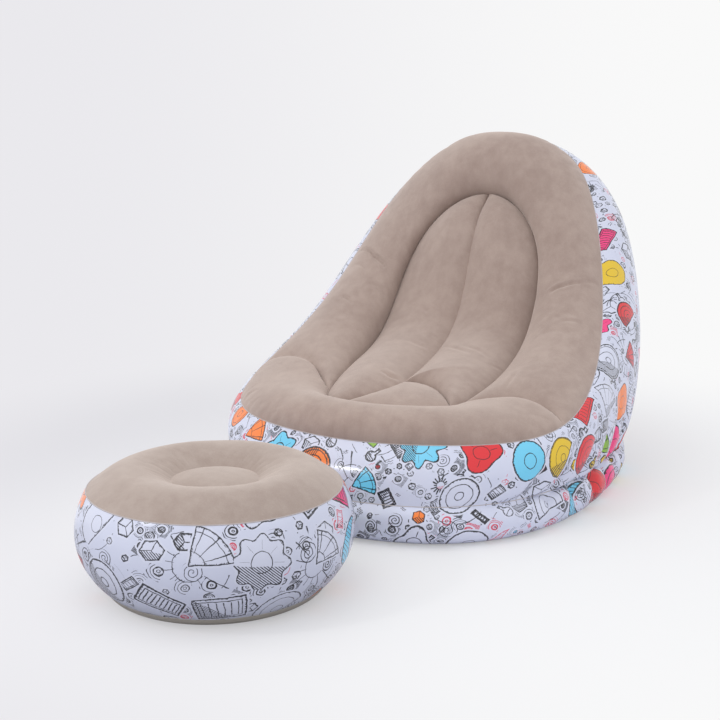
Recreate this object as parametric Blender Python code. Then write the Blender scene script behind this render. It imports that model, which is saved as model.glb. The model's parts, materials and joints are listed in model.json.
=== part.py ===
"""Inflatable lounge chair with its round footstool.

The chair faces -Y and stands on the floor, z = 0, with the origin under its middle. All sizes are
in metres. Every sheet is a thin shell of its own, butted at the seams with a small gap, and the
sheets enclose the air: one chamber in the base ring, one in the seat and back, one in the footstool.
"""
import math

import bmesh
import bpy
import numpy as np
from mathutils import Matrix, Vector

# Sheets, seams and the gaps that neighbours keep
SHEET = 0.001
WEB = 0.001
GAP = 0.0003
SEAM_RADIUS = 0.0022
CREASE_GAP = 0.0015
WELD_CLEARANCE = SEAM_RADIUS + GAP + SHEET / 2
CORNER_GAP = 0.0004
MERGE = 0.00005
DENSE_STEPS = 80
STATIONS = 52
HALF_WAY = STATIONS // 2

# Base ring: the rounded band on the floor, its outline a superellipse
RING_HALF_WIDTH = 0.465
RING_FRONT = 0.561
RING_BACK = 0.580
RING_SQUARENESS = 2.45
RING_RADIUS = 0.044
RING_TOP_ANGLE = math.radians(70)
RING_ROWS = 4
DIVIDER_INSET = 0.130

# Top seam, where the flocked rim meets the printed wall: across, along and rise shares
SEAM_SIDE_INSET = 0.035
SEAM_FRONT_INSET = 0.093
SEAM_BACK_INSET = 0.056
SEAM_HALF_WIDTH = RING_HALF_WIDTH - SEAM_SIDE_INSET
SEAM_FRONT = RING_FRONT - SEAM_FRONT_INSET
SEAM_BACK = RING_BACK - SEAM_BACK_INSET
SEAM_LOW = 0.203
SEAM_HIGH = 0.849
SEAM_SHARES = (
    (0, -1, 0),
    (0.444, -0.942, 0.006),
    (0.849, -0.688, 0.014),
    (1, -0.254, 0.088),
    (0.893, 0.359, 0.325),
    (0.672, 0.794, 0.718),
    (0.379, 1, 0.937),
    (0, 0.994, 1),
)

# Dish outline, where rim and seat meet in a deep crease: across, along and rise shares
ARM_WIDTH = 0.226
BOLSTER_DEPTH = 0.115
HEADREST_DEPTH = 0.124
BOLSTER_RISE = 0.042
HEADREST_HEIGHT = 0.165
DISH_HALF_WIDTH = SEAM_HALF_WIDTH - ARM_WIDTH
DISH_FRONT = SEAM_FRONT - BOLSTER_DEPTH
DISH_BACK = SEAM_BACK - HEADREST_DEPTH
DISH_LOW = SEAM_LOW + BOLSTER_RISE
DISH_HIGH = SEAM_HIGH - HEADREST_HEIGHT
DISH_SHARES = (
    (0, -1, 0),
    (0.520, -0.946, 0),
    (0.828, -0.686, 0.010),
    (0.975, -0.170, 0.075),
    (1, 0.365, 0.215),
    (0.912, 0.712, 0.604),
    (0.529, 0.900, 0.914),
    (0, 1, 1),
)
DISH_TURN_SHARE = 0.052

# Printed wall: how far it swells past the straight line from ring to top seam
WALL_SWELL_FRONT = 0.019
WALL_SWELL_SIDE = 0.040
WALL_SWELL_BACK = 0.145
WALL_PEAK_SHARE = 0.564
WALL_FULLNESS = 0.41
WALL_ROWS = 7

# Shoulders: where the wall bulges a little more, high up beside the back
SHOULDER_SWELL = 0.018
SHOULDER_TURN_SHARE = 0.41
SHOULDER_SPREAD_SHARE = 0.06
SHOULDER_RISE_POWER = 4

# Flocked rim and front bolster: crown over the line from top seam to dish outline
RIM_CROWN_FRONT = 0.047
RIM_CROWN_SIDE = 0.036
RIM_CROWN_BACK = 0.068
RIM_ROWS = 6
CORNER_STATION = 10
CORNER_DIP_SHARE = 0.35
CORNER_DIP_STATIONS = 1.6

# Centre seam of the dish, from the fork up to the top: depth and rise shares of the dish
CENTRE_SEAM_SHARES = (
    (0.240, 0.070),
    (0.430, 0.120),
    (0.620, 0.225),
    (0.730, 0.400),
    (0.785, 0.580),
    (0.838, 0.760),
    (0.903, 0.900),
    (1, 1),
)
FORK_STATION = 5
LOBE_PUFF = 0.036
SEAT_PUFF = 0.020
LOBE_ROWS = 6
SEAT_ROWS = 4
LOBE_FULLNESS = 0.8
LOBE_TAPER_POWER = 0.5
CENTRE_SEAM_COUNT = HALF_WAY - FORK_STATION - FORK_STATION + 1

# Footstool: turned shapes round their own axis
STOOL_PLACE = (-0.081, -0.899)
STOOL_STATIONS = 36
STOOL_FLOOR_RADIUS = 0.165
STOOL_BASE_RADIUS = 0.217
STOOL_BASE_HEIGHT = 0.023
STOOL_SEAM_RADIUS = 0.247
STOOL_SEAM_HEIGHT = 0.212
STOOL_WALL_SWELL = 0.039
STOOL_WALL_FULLNESS = 0.8
STOOL_WALL_ROWS = 6
STOOL_WELD_RADIUS = 0.085
STOOL_WELD_HEIGHT = 0.222
STOOL_CROWN = 0.036
STOOL_CROWN_ROWS = 6
STOOL_DOME = 0.014
STOOL_DOME_ROWS = 3
STOOL_PAN_ROWS = 3

# Screw valve in the back wall
SCREW_FLANGE_RADIUS = 0.0210
SCREW_FLANGE_THICKNESS = 0.0020
SCREW_TUBE_RADIUS = 0.0150
SCREW_BORE_RADIUS = 0.0120
SCREW_TUBE_DEPTH = 0.0180
SCREW_INSERT_RIM_RADIUS = 0.0150
SCREW_INSERT_RIM_THICKNESS = 0.0030
SCREW_INSERT_BORE_RADIUS = 0.0080
SCREW_INSERT_DEPTH = 0.0120
SCREW_CAP_RADIUS = 0.0160
SCREW_CAP_THICKNESS = 0.0030
SCREW_CAP_SPIGOT_DEPTH = 0.0040
SCREW_RUNNING_GAP = 0.0003
SCREW_RISE_SHARE = 0.33
SCREW_GRIPS = 10

# Push-in valves in the base ring and the footstool
STEM_FLANGE_RADIUS = 0.0105
STEM_FLANGE_THICKNESS = 0.0014
STEM_TUBE_RADIUS = 0.0060
STEM_BORE_RADIUS = 0.0042
STEM_TUBE_DEPTH = 0.0150
STEM_PLUG_RADIUS = 0.0070
STEM_PLUG_THICKNESS = 0.0025
STEM_PLUG_SPIGOT_DEPTH = 0.0040
RING_VALVE_RISE_SHARE = 0.6
STOOL_VALVE_RISE_SHARE = 0.6
BACK_TURN_SHARE = 0.5
STOOL_VALVE_TURN_SHARE = 0.73

# What every valve has: a check flap on its inner end and a strap that holds the cap
FLAP_THICKNESS = 0.0008
FLAP_MARGIN = 0.0015
SPIGOT_CLEARANCE = 0.0006
SPIGOT_TAPER = 0.0015
STRAP_WIDTH = 0.0070
STRAP_LENGTH = 0.0030
HOLE_CLEARANCE = 0.0004
CUTTER_DEPTH = 0.0200
ROUND_SEGMENTS = 20
SHARP_EDGE_ANGLE = math.radians(40)

# Finishes: linear colour, roughness
FLOCK = ("flock", (0.445, 0.361, 0.309), 0.92)
PRINTED_VINYL = ("printed_vinyl", (0.672, 0.687, 0.776), 0.22)
BASE_VINYL = ("base_vinyl", (0.376, 0.342, 0.296), 0.38)
WEB_VINYL = ("web_vinyl", (0.60, 0.60, 0.62), 0.40)
WELD_VINYL = ("weld_vinyl", (0.560, 0.545, 0.560), 0.30)
VALVE_VINYL = ("valve_vinyl", (0.700, 0.700, 0.720), 0.30)
FLAP_RUBBER = ("flap_rubber", (0.300, 0.300, 0.320), 0.50)


def clear_scene():
    for thing in list(bpy.data.objects):
        bpy.data.objects.remove(thing, do_unlink=True)


def finish_material(finish):
    """One Principled material per piece, so each can be changed by itself."""
    name, colour, roughness = finish
    material = bpy.data.materials.new(name)
    material.use_nodes = True
    shader = material.node_tree.nodes["Principled BSDF"]
    shader.inputs["Base Color"].default_value = (*colour, 1)
    shader.inputs["Roughness"].default_value = roughness
    shader.inputs["Metallic"].default_value = 0
    return material


def add_object(name, data, finish, parent=None, place=None):
    thing = bpy.data.objects.new(name, data)
    bpy.context.scene.collection.objects.link(thing)
    data.materials.append(finish_material(finish))
    if parent is not None:
        thing.parent = parent
    if place is not None:
        thing.location = place
    return thing


def add_empty(name, matrix, parent=None):
    empty = bpy.data.objects.new(name, None)
    bpy.context.scene.collection.objects.link(empty)
    empty.parent = parent
    empty.matrix_local = matrix
    return empty


# Curves and lofts, as arrays of points

def spline(knots, at, closed=False):
    """Smooth curve through the knots; at counts knots, so 1.5 lies between the second and third."""
    knots = np.asarray(knots, dtype=float)
    count = len(knots)
    stiffness = 4 * np.eye(count)
    pull = np.zeros_like(knots)
    for i in range(count):
        if closed or 0 < i < count - 1:
            stiffness[i, i - 1] += 1
            stiffness[i, (i + 1) % count] += 1
            pull[i] = 6 * (knots[i - 1] - 2 * knots[i] + knots[(i + 1) % count])
    bend = np.linalg.solve(stiffness, pull)
    at = np.asarray(at, dtype=float)
    first = np.floor(at).astype(int) if closed else np.clip(np.floor(at).astype(int), 0, count - 2)
    after = (at - first)[:, None]
    before = 1 - after
    this, following = first % count, (first + 1) % count
    chord = before * knots[this] + after * knots[following]
    return chord + ((before ** 3 - before) * bend[this] + (after ** 3 - after) * bend[following]) / 6


def mirrored_loop(shares, half_width, front, back, low, high, turns):
    """Closed curve from the table of its right half, which runs from the front to the back."""
    table = np.array(shares, dtype=float)
    depth = np.where(table[:, 1] < 0, front, back)
    half = np.stack([table[:, 0] * half_width, table[:, 1] * depth, low + table[:, 2] * (high - low)], -1)
    knots = np.concatenate([half, half[-2:0:-1] * (-1, 1, 1)])
    return spline(knots, np.asarray(turns) * len(knots), closed=True)


def turns_of(count):
    return np.arange(count) / count


def ring_outline(turns):
    """Plan of the base ring's widest line and its outward direction."""
    angle = 2 * math.pi * turns
    across, along = np.sin(angle), -np.cos(angle)
    size = (np.abs(across) ** RING_SQUARENESS + np.abs(along) ** RING_SQUARENESS) ** (-1 / RING_SQUARENESS)
    x = RING_HALF_WIDTH * size * across
    y = np.where(along < 0, RING_FRONT, RING_BACK) * size * along
    points = np.stack([x, y, np.zeros_like(x)], -1)
    return points, outward_of(points)


def tangent_of(points, closed=True):
    if closed:
        step = np.roll(points, -1, axis=0) - np.roll(points, 1, axis=0)
    else:
        step = np.gradient(points, axis=0)
    return step / np.linalg.norm(step, axis=1)[:, None]


def outward_of(points):
    """Level direction out of a closed curve that runs anticlockwise from above."""
    step = tangent_of(points)
    out = np.stack([step[:, 1], -step[:, 0], np.zeros(len(step))], -1)
    return out / np.linalg.norm(out, axis=1)[:, None]


def swell_of(turns, front, side, back):
    facing = np.cos(2 * math.pi * turns)
    ahead = np.clip(facing, 0, 1)
    behind = np.clip(-facing, 0, 1)
    return (front * ahead + side * (1 - ahead - behind) + back * behind)[:, None]


def perpendicular_distance(points, origin, along):
    offset = points - origin
    return np.linalg.norm(offset - (offset * along).sum(-1, keepdims=True) * along, axis=-1)


def even_rows(loft, start_gap, end_gap, rows, closed=True):
    """Rows evenly spaced over a dense loft, kept clear of the seams at its two ends."""
    start_along = tangent_of(loft[0], closed)
    end_along = tangent_of(loft[-1], closed)
    shape = (rows + 1, loft.shape[1], 3)
    result = np.empty(shape)
    for i in range(loft.shape[1]):
        line = loft[:, i]
        length = np.concatenate([[0], np.cumsum(np.linalg.norm(np.diff(line, axis=0), axis=1))])
        half = len(line) // 2
        near_start = perpendicular_distance(line[:half], line[0], start_along[i])
        near_end = perpendicular_distance(line[half:], line[-1], end_along[i])[::-1]
        start = np.interp(start_gap, near_start, length[:half])
        end = np.interp(end_gap, near_end, length[half:][::-1])
        wanted = np.linspace(start, end, rows + 1)
        for axis in range(3):
            result[:, i, axis] = np.interp(wanted, length, line[:, axis])
    return result


def shorten(points, start, end):
    """A polyline with a length taken off each end."""
    points = points.copy()
    first = points[1] - points[0]
    last = points[-2] - points[-1]
    points[0] += first * start / np.linalg.norm(first)
    points[-1] += last * end / np.linalg.norm(last)
    return points


# The chair's curves and surfaces

def top_seam(turns):
    return mirrored_loop(SEAM_SHARES, SEAM_HALF_WIDTH, SEAM_FRONT, SEAM_BACK, SEAM_LOW, SEAM_HIGH, turns)


def dish_outline(turns):
    """Runs a little behind the top seam's turn at the front, so that the corner welds line up."""
    turns = turns - DISH_TURN_SHARE * np.sin(2 * math.pi * turns)
    return mirrored_loop(DISH_SHARES, DISH_HALF_WIDTH, DISH_FRONT, DISH_BACK, DISH_LOW, DISH_HIGH, turns)


def ring_at(turns, angle):
    """Base ring at an angle round its section, from straight down to the crease."""
    outline, outward = ring_outline(turns)
    inset = RING_RADIUS * (1 - math.cos(angle))
    height = RING_RADIUS * (1 + math.sin(angle))
    return outline - outward * inset + (0, 0, height)


def ring_loft(turns):
    angles = np.linspace(-math.pi / 2, RING_TOP_ANGLE, DENSE_STEPS)
    return np.array([ring_at(turns, angle) for angle in angles])


def wall_loft(turns):
    low = ring_at(turns, RING_TOP_ANGLE)
    high = top_seam(turns)
    outward = ring_outline(turns)[1]
    swell = swell_of(turns, WALL_SWELL_FRONT, WALL_SWELL_SIDE, WALL_SWELL_BACK)
    skew = math.log(0.5) / math.log(WALL_PEAK_SHARE)
    shares = (1 - np.cos(np.linspace(0, math.pi, DENSE_STEPS))) / 2
    arch = np.sin(math.pi * shares ** skew).clip(0) ** WALL_FULLNESS
    away = (np.minimum(turns, 1 - turns) - SHOULDER_TURN_SHARE) / SHOULDER_SPREAD_SHARE
    shoulder = SHOULDER_SWELL * np.exp(-away ** 2)[:, None]
    high_arch = np.sin(math.pi * shares ** SHOULDER_RISE_POWER)
    rows = zip(shares, arch, high_arch)
    return np.array([low * (1 - s) + high * s + outward * (swell * a + shoulder * h) for s, a, h in rows])


def corner_dip(turns):
    """The crown sinks where the front bolster is welded to the rim."""
    count = turns * STATIONS
    away = np.minimum(np.abs(count - CORNER_STATION), np.abs(count - (STATIONS - CORNER_STATION)))
    return (1 - CORNER_DIP_SHARE * np.exp(-(away / CORNER_DIP_STATIONS) ** 2))[:, None]


def rim_loft(turns):
    outer, inner = top_seam(turns), dish_outline(turns)
    chord = inner - outer
    level = np.linalg.norm(chord[:, :2], axis=1)
    lift = np.stack([-chord[:, 0] / level * chord[:, 2], -chord[:, 1] / level * chord[:, 2], level], -1)
    lift = lift / np.linalg.norm(lift, axis=1)[:, None]
    crown = swell_of(turns, RIM_CROWN_FRONT, RIM_CROWN_SIDE, RIM_CROWN_BACK) * corner_dip(turns)
    angles = np.linspace(0, math.pi, DENSE_STEPS)
    return np.array([outer + chord * (1 - math.cos(a)) / 2 + lift * crown * math.sin(a) for a in angles])


def dish_edge(turns):
    """The dish panel's own edge, a small gap inside the outline."""
    outline = dish_outline(turns)
    return outline - outward_of(outline) * CREASE_GAP


def centre_seam(count):
    """The seam from the fork up to the top of the dish, on the middle plane."""
    table = np.array(CENTRE_SEAM_SHARES)
    depth = -DISH_FRONT + table[:, 0] * (DISH_FRONT + DISH_BACK)
    rise = DISH_LOW + table[:, 1] * (DISH_HIGH - DISH_LOW)
    knots = np.stack([np.zeros(len(table)), depth, rise], -1)
    knots[-1] = dish_edge(turns_of(STATIONS))[HALF_WAY]
    return spline(knots, np.linspace(0, len(knots) - 1, count))


def fork_branch(side):
    """The short seam from the dish outline in to the fork, on one side."""
    start = dish_edge(turns_of(STATIONS))[side * FORK_STATION]
    end = centre_seam(HALF_WAY)[0]
    steps = np.linspace(0, 1, FORK_STATION + 1)[:, None]
    return start * (1 - steps) + end * steps


def lobe_loft(outer, inner, puff, rows):
    """Puffed patch between two seams that meet at both ends."""
    along = tangent_of((outer + inner) / 2, closed=False)
    level = np.abs(along[:, 0]) + np.abs(along[:, 1])
    up = np.stack([np.zeros(len(along)), -np.abs(along[:, 2]), level], -1)
    up = up / np.linalg.norm(up, axis=1)[:, None]
    width = np.linalg.norm(outer - inner, axis=1)
    height = puff * (width / width.max())[:, None] ** LOBE_TAPER_POWER
    shares = np.linspace(0, 1, rows + 1)
    arch = (4 * shares * (1 - shares)) ** LOBE_FULLNESS
    return np.array([outer * (1 - s) + inner * s + up * height * a for s, a in zip(shares, arch)])


def dish_lofts():
    edge = dish_edge(turns_of(STATIONS))
    seam = centre_seam(CENTRE_SEAM_COUNT)
    right_seam = np.concatenate([fork_branch(1), seam[1:]])
    left_seam = np.concatenate([fork_branch(-1), seam[1:]])[::-1]
    right_edge = edge[FORK_STATION:HALF_WAY + 1]
    left_edge = edge[HALF_WAY:STATIONS - FORK_STATION + 1]
    front_edge = np.concatenate([edge[-FORK_STATION:], edge[:FORK_STATION + 1]])
    front_seam = np.concatenate([fork_branch(-1), fork_branch(1)[-2::-1]])
    return (
        lobe_loft(right_edge, right_seam, LOBE_PUFF, LOBE_ROWS),
        lobe_loft(left_edge, left_seam, LOBE_PUFF, LOBE_ROWS),
        lobe_loft(front_edge, front_seam, SEAT_PUFF, SEAT_ROWS),
    )


def turned_rows(profile, count):
    """Rows of points from radius and height pairs turned round the vertical axis."""
    angle = 2 * math.pi * turns_of(count)
    around = np.stack([np.sin(angle), -np.cos(angle), np.zeros(count)], -1)
    return np.array([around * radius + (0, 0, height) for radius, height in profile])


# Meshes

def grid_mesh(name, grids, closed):
    """One surface from grids of rows that share their edges."""
    shape = bmesh.new()
    for rows in grids:
        verts = [[shape.verts.new(point) for point in row] for row in rows]
        count = len(rows[0])
        for low, high in zip(verts, verts[1:]):
            for i in range(count if closed else count - 1):
                j = (i + 1) % count
                shape.faces.new((low[i], low[j], high[j], high[i]))
    bmesh.ops.remove_doubles(shape, verts=shape.verts, dist=MERGE)
    mesh = bpy.data.meshes.new(name)
    shape.to_mesh(mesh)
    shape.free()
    mesh.shade_smooth()
    return mesh


def add_sheet(name, grids, finish, thickness=SHEET, offset=-1, closed=True, parent=None):
    """A sheet with its thickness on the inner side, or split over both sides for a web."""
    sheet = add_object(name, grid_mesh(name, grids, closed), finish, parent)
    solidify = sheet.modifiers.new("thickness", "SOLIDIFY")
    solidify.thickness = thickness
    solidify.offset = offset
    return sheet


def add_weld(name, points, finish=WELD_VINYL, parent=None):
    """The bead of a welded seam, a thin tube round a closed curve."""
    curve = bpy.data.curves.new(name, "CURVE")
    curve.dimensions = "3D"
    curve.bevel_depth = SEAM_RADIUS
    curve.bevel_resolution = 1
    path = curve.splines.new("POLY")
    path.points.add(len(points) - 1)
    for knot, point in zip(path.points, points):
        knot.co = (*point, 1)
    path.use_cyclic_u = True
    return add_object(name, curve, finish, parent)


def add_turned(name, profile, finish, parent, place=(0, 0, 0), segments=ROUND_SEGMENTS, closed=True):
    """A turned piece: a closed section, or one whose first and last points lie on the axis."""
    section = list(profile) + [profile[0]] if closed else list(profile)
    mesh = grid_mesh(name, [turned_rows(section, segments)], True)
    shape = bmesh.new()
    shape.from_mesh(mesh)
    bmesh.ops.recalc_face_normals(shape, faces=shape.faces)
    shape.to_mesh(mesh)
    shape.free()
    mesh.shade_smooth()
    mesh.set_sharp_from_angle(angle=SHARP_EDGE_ANGLE)
    return add_object(name, mesh, finish, parent, place)


def add_block(name, size, centre, finish, parent):
    mesh = bpy.data.meshes.new(name)
    shape = bmesh.new()
    bmesh.ops.create_cube(shape, size=1)
    bmesh.ops.scale(shape, vec=size, verts=shape.verts)
    shape.to_mesh(mesh)
    shape.free()
    return add_object(name, mesh, finish, parent, centre)


def cut_round_hole(sheet, frame, radius):
    """Cuts a round hole through a sheet, square to the frame."""
    half = CUTTER_DEPTH / 2
    profile = [(0, -half), (radius, -half), (radius, half), (0, half)]
    cutter = add_turned("cutter_" + sheet.name, profile, VALVE_VINYL, frame, closed=False)
    cutter.hide_render = True
    cutter.display_type = "WIRE"
    hole = sheet.modifiers.new("valve_hole", "BOOLEAN")
    hole.operation = "DIFFERENCE"
    hole.solver = "EXACT"
    hole.object = cutter


def facet_frame(rows, rise_share, turn_share):
    """Frame in the middle of one flat facet of a sheet: Z out of it, Y up along it."""
    count = rows.shape[1]
    row = int(rise_share * (len(rows) - 1))
    station = int(turn_share * count)
    corners = [Vector(rows[r][s % count]) for r in (row, row + 1) for s in (station, station + 1)]
    centre = sum(corners, Vector()) / len(corners)
    out = (corners[3] - corners[0]).cross(corners[2] - corners[1]).normalized()
    up = (Vector((0, 0, 1)) - out * out.z).normalized()
    matrix = Matrix((up.cross(out), up, out)).transposed().to_4x4()
    matrix.translation = centre
    return matrix


# Chair shell

def build_chair_shell():
    turns = turns_of(STATIONS)
    base = ring_at(turns, -math.pi / 2)
    inner = base - outward_of(base) * WELD_CLEARANCE + (0, 0, SHEET)
    centre = np.zeros_like(inner) + (0, 0, SHEET)
    add_sheet("base_panel", [np.array([inner, centre])], BASE_VINYL)
    ring_rows = even_rows(ring_loft(turns), WELD_CLEARANCE, WELD_CLEARANCE, RING_ROWS)
    ring = add_sheet("base_ring_skin", [ring_rows], PRINTED_VINYL)
    wall_rows = even_rows(wall_loft(turns), WELD_CLEARANCE, WELD_CLEARANCE, WALL_ROWS)
    wall = add_sheet("side_wall", [wall_rows], PRINTED_VINYL)
    add_weld("base_seam_weld", base + (0, 0, SEAM_RADIUS))
    add_weld("waist_seam_weld", ring_at(turns, RING_TOP_ANGLE))
    add_weld("top_seam_weld", top_seam(turns))
    return ring, ring_rows, wall, wall_rows


def build_rim():
    """The flocked horseshoe and the front bolster, parted at the two corner welds."""
    rows = even_rows(rim_loft(turns_of(STATIONS)), WELD_CLEARANCE, CREASE_GAP, RIM_ROWS)
    rim = rows[:, CORNER_STATION:STATIONS - CORNER_STATION + 1]
    front = np.concatenate([rows[:, -CORNER_STATION:], rows[:, :CORNER_STATION + 1]], axis=1)
    half_gap = CORNER_GAP / 2
    for part in (rim, front):
        for row in part:
            row[:] = shorten(row, half_gap, half_gap)
    add_sheet("rim_panel", [rim], FLOCK, closed=False)
    add_sheet("front_bolster", [front], FLOCK, closed=False)


def web_rows(top, floor):
    bottom = top.copy()
    bottom[:, 2] = floor
    return np.array([bottom, top])


def build_webs():
    """Inner sheets that tie the dish's seams to the floor panel and close off the base ring."""
    turns = turns_of(STATIONS)
    floor = SHEET + GAP
    outline = dish_outline(turns) - (0, 0, GAP)
    add_sheet("outline_web", [web_rows(outline, floor)], WEB_VINYL, WEB, 0)
    drop = SHEET + GAP
    seam = centre_seam(CENTRE_SEAM_COUNT)
    step = tangent_of(seam, closed=False)
    seam_top = seam + np.stack([np.zeros(len(seam)), step[:, 2], -step[:, 1]], -1) * drop
    clear = CREASE_GAP + WEB
    centre_top = shorten(seam_top, clear, clear)
    add_sheet("centre_web", [web_rows(centre_top, floor)], WEB_VINYL, WEB, 0, closed=False)
    for name, side in (("right_fork_web", 1), ("left_fork_web", -1)):
        branch = fork_branch(side) - (0, 0, drop)
        branch_top = shorten(branch, clear, clear)
        add_sheet(name, [web_rows(branch_top, floor)], WEB_VINYL, WEB, 0, closed=False)
    crease = ring_at(turns, RING_TOP_ANGLE)
    outline_plan, outward = ring_outline(turns)
    foot = outline_plan - outward * DIVIDER_INSET + (0, 0, floor + WEB / 2)
    lean = foot - crease
    top = crease + lean / np.linalg.norm(lean, axis=1)[:, None] * WELD_CLEARANCE
    add_sheet("ring_divider", [np.array([foot, top])], WEB_VINYL, WEB, 0)


# Valves, each in a frame with Z out of the sheet and Y up along it

def build_screw_valve(wall, frame):
    """Wide valve: socket, screw insert with a check flap, and a cap on a strap."""
    cut_round_hole(wall, frame, SCREW_FLANGE_RADIUS + HOLE_CLEARANCE)
    face = SCREW_FLANGE_THICKNESS / 2
    back = face - SCREW_FLANGE_THICKNESS
    socket = [
        (SCREW_BORE_RADIUS, face),
        (SCREW_FLANGE_RADIUS, face),
        (SCREW_FLANGE_RADIUS, back),
        (SCREW_TUBE_RADIUS, back),
        (SCREW_TUBE_RADIUS, -SCREW_TUBE_DEPTH),
        (SCREW_BORE_RADIUS, -SCREW_TUBE_DEPTH),
    ]
    add_turned("main_valve_socket", socket, VALVE_VINYL, frame)
    seat = face + SCREW_RUNNING_GAP
    rim_top = seat + SCREW_INSERT_RIM_THICKNESS
    neck = SCREW_BORE_RADIUS - SCREW_RUNNING_GAP
    insert = [
        (SCREW_INSERT_BORE_RADIUS, rim_top),
        (SCREW_INSERT_RIM_RADIUS, rim_top),
        (SCREW_INSERT_RIM_RADIUS, seat),
        (neck, seat),
        (neck, -SCREW_INSERT_DEPTH),
        (SCREW_INSERT_BORE_RADIUS, -SCREW_INSERT_DEPTH),
    ]
    add_turned("main_valve_insert", insert, VALVE_VINYL, frame, segments=2 * SCREW_GRIPS)
    add_flap("main_valve_flap", SCREW_INSERT_BORE_RADIUS, -SCREW_INSERT_DEPTH, frame)
    cap_seat = rim_top + GAP
    add_cap("main_valve", frame, cap_seat, SCREW_CAP_RADIUS, SCREW_CAP_THICKNESS,
            SCREW_INSERT_BORE_RADIUS, SCREW_CAP_SPIGOT_DEPTH, face)


def build_stem_valve(name, sheet, frame):
    """Narrow valve: stem with a check flap, and a push-in plug on a strap."""
    cut_round_hole(sheet, frame, STEM_FLANGE_RADIUS + HOLE_CLEARANCE)
    face = STEM_FLANGE_THICKNESS / 2
    back = face - STEM_FLANGE_THICKNESS
    stem = [
        (STEM_BORE_RADIUS, face),
        (STEM_FLANGE_RADIUS, face),
        (STEM_FLANGE_RADIUS, back),
        (STEM_TUBE_RADIUS, back),
        (STEM_TUBE_RADIUS, -STEM_TUBE_DEPTH),
        (STEM_BORE_RADIUS, -STEM_TUBE_DEPTH),
    ]
    add_turned(name + "_stem", stem, VALVE_VINYL, frame)
    add_flap(name + "_flap", STEM_BORE_RADIUS, -STEM_TUBE_DEPTH, frame)
    add_cap(name, frame, face + GAP, STEM_PLUG_RADIUS, STEM_PLUG_THICKNESS,
            STEM_BORE_RADIUS, STEM_PLUG_SPIGOT_DEPTH, face)


def add_flap(name, bore_radius, mouth, frame):
    """Round check flap under the inner mouth of a valve, its origin on its hinged upper edge."""
    radius = bore_radius + FLAP_MARGIN
    top = mouth - GAP
    hinge = Vector((0, radius, top))
    disc = [(0, top), (radius, top), (radius, top - FLAP_THICKNESS), (0, top - FLAP_THICKNESS)]
    flap = add_turned(name, disc, FLAP_RUBBER, frame, hinge, closed=False)
    flap.data.transform(Matrix.Translation(-hinge))


def add_cap(name, frame, seat, radius, thickness, bore_radius, spigot_depth, face):
    """Cap with a tapered spigot in the bore, hinged at its upper edge on a strap on the flange."""
    spigot = bore_radius - SPIGOT_CLEARANCE
    tip = spigot - SPIGOT_TAPER
    top = seat + thickness
    hinge = Vector((0, radius + GAP / 2, top))
    section = [(0, top), (radius, top), (radius, seat), (spigot, seat), (tip, seat - spigot_depth),
               (0, seat - spigot_depth)]
    cap = add_turned(name + "_cap", section, VALVE_VINYL, frame, hinge, closed=False)
    cap.data.transform(Matrix.Translation(-hinge))
    foot = face + GAP
    size = (STRAP_WIDTH, STRAP_LENGTH, top - foot)
    centre = (0, radius + GAP + STRAP_LENGTH / 2, (top + foot) / 2)
    add_block(name + "_strap", size, centre, VALVE_VINYL, frame)


# Footstool

def arch_profile(start, end, swell, fullness, steps=DENSE_STEPS):
    """Bulged line between two radius and height points, as a fine list of pairs."""
    start, end = np.array(start), np.array(end)
    chord = end - start
    out = np.array([chord[1], -chord[0]]) / np.linalg.norm(chord)
    shares = (1 - np.cos(np.linspace(0, math.pi, steps))) / 2
    return [start + chord * s + out * swell * math.sin(math.pi * s) ** fullness for s in shares]


def build_footstool():
    place = Matrix.Translation((*STOOL_PLACE, 0))
    stool = add_empty("footstool", place)
    clear = WELD_CLEARANCE
    base = (STOOL_BASE_RADIUS, STOOL_BASE_HEIGHT)
    seam = (STOOL_SEAM_RADIUS, STOOL_SEAM_HEIGHT)
    weld = (STOOL_WELD_RADIUS, STOOL_WELD_HEIGHT)
    wall_line = arch_profile(base, seam, STOOL_WALL_SWELL, STOOL_WALL_FULLNESS)
    wall_rows = even_rows(turned_rows(wall_line, STOOL_STATIONS), clear, clear, STOOL_WALL_ROWS)
    wall = add_sheet("footstool_wall", [wall_rows], PRINTED_VINYL, parent=stool)
    crown_line = arch_profile(seam, weld, STOOL_CROWN, 1)
    crown_rows = even_rows(turned_rows(crown_line, STOOL_STATIONS), clear, 0, STOOL_CROWN_ROWS)
    shares = np.linspace(1, 0, STOOL_DOME_ROWS + 1)
    dome_line = [(weld[0] * s, weld[1] + STOOL_DOME * (1 - s ** 2)) for s in shares]
    dome_rows = turned_rows(dome_line, STOOL_STATIONS)
    add_sheet("footstool_top", [crown_rows, dome_rows], FLOCK, parent=stool)
    add_sheet("footstool_base_panel", [pan_rows(base, clear)], BASE_VINYL, parent=stool)
    web_line = [(weld[0], SHEET + GAP), (weld[0], weld[1] - SHEET - GAP)]
    web = turned_rows(web_line, STOOL_STATIONS)
    add_sheet("footstool_web", [web], WEB_VINYL, WEB, 0, parent=stool)
    add_weld("footstool_top_weld", turned_rows([seam], STOOL_STATIONS)[0], parent=stool)
    add_weld("footstool_base_weld", turned_rows([base], STOOL_STATIONS)[0], parent=stool)
    facet = facet_frame(wall_rows, STOOL_VALVE_RISE_SHARE, STOOL_VALVE_TURN_SHARE)
    frame = add_empty("footstool_valve_frame", facet, stool)
    build_stem_valve("footstool_valve", wall, frame)


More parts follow.
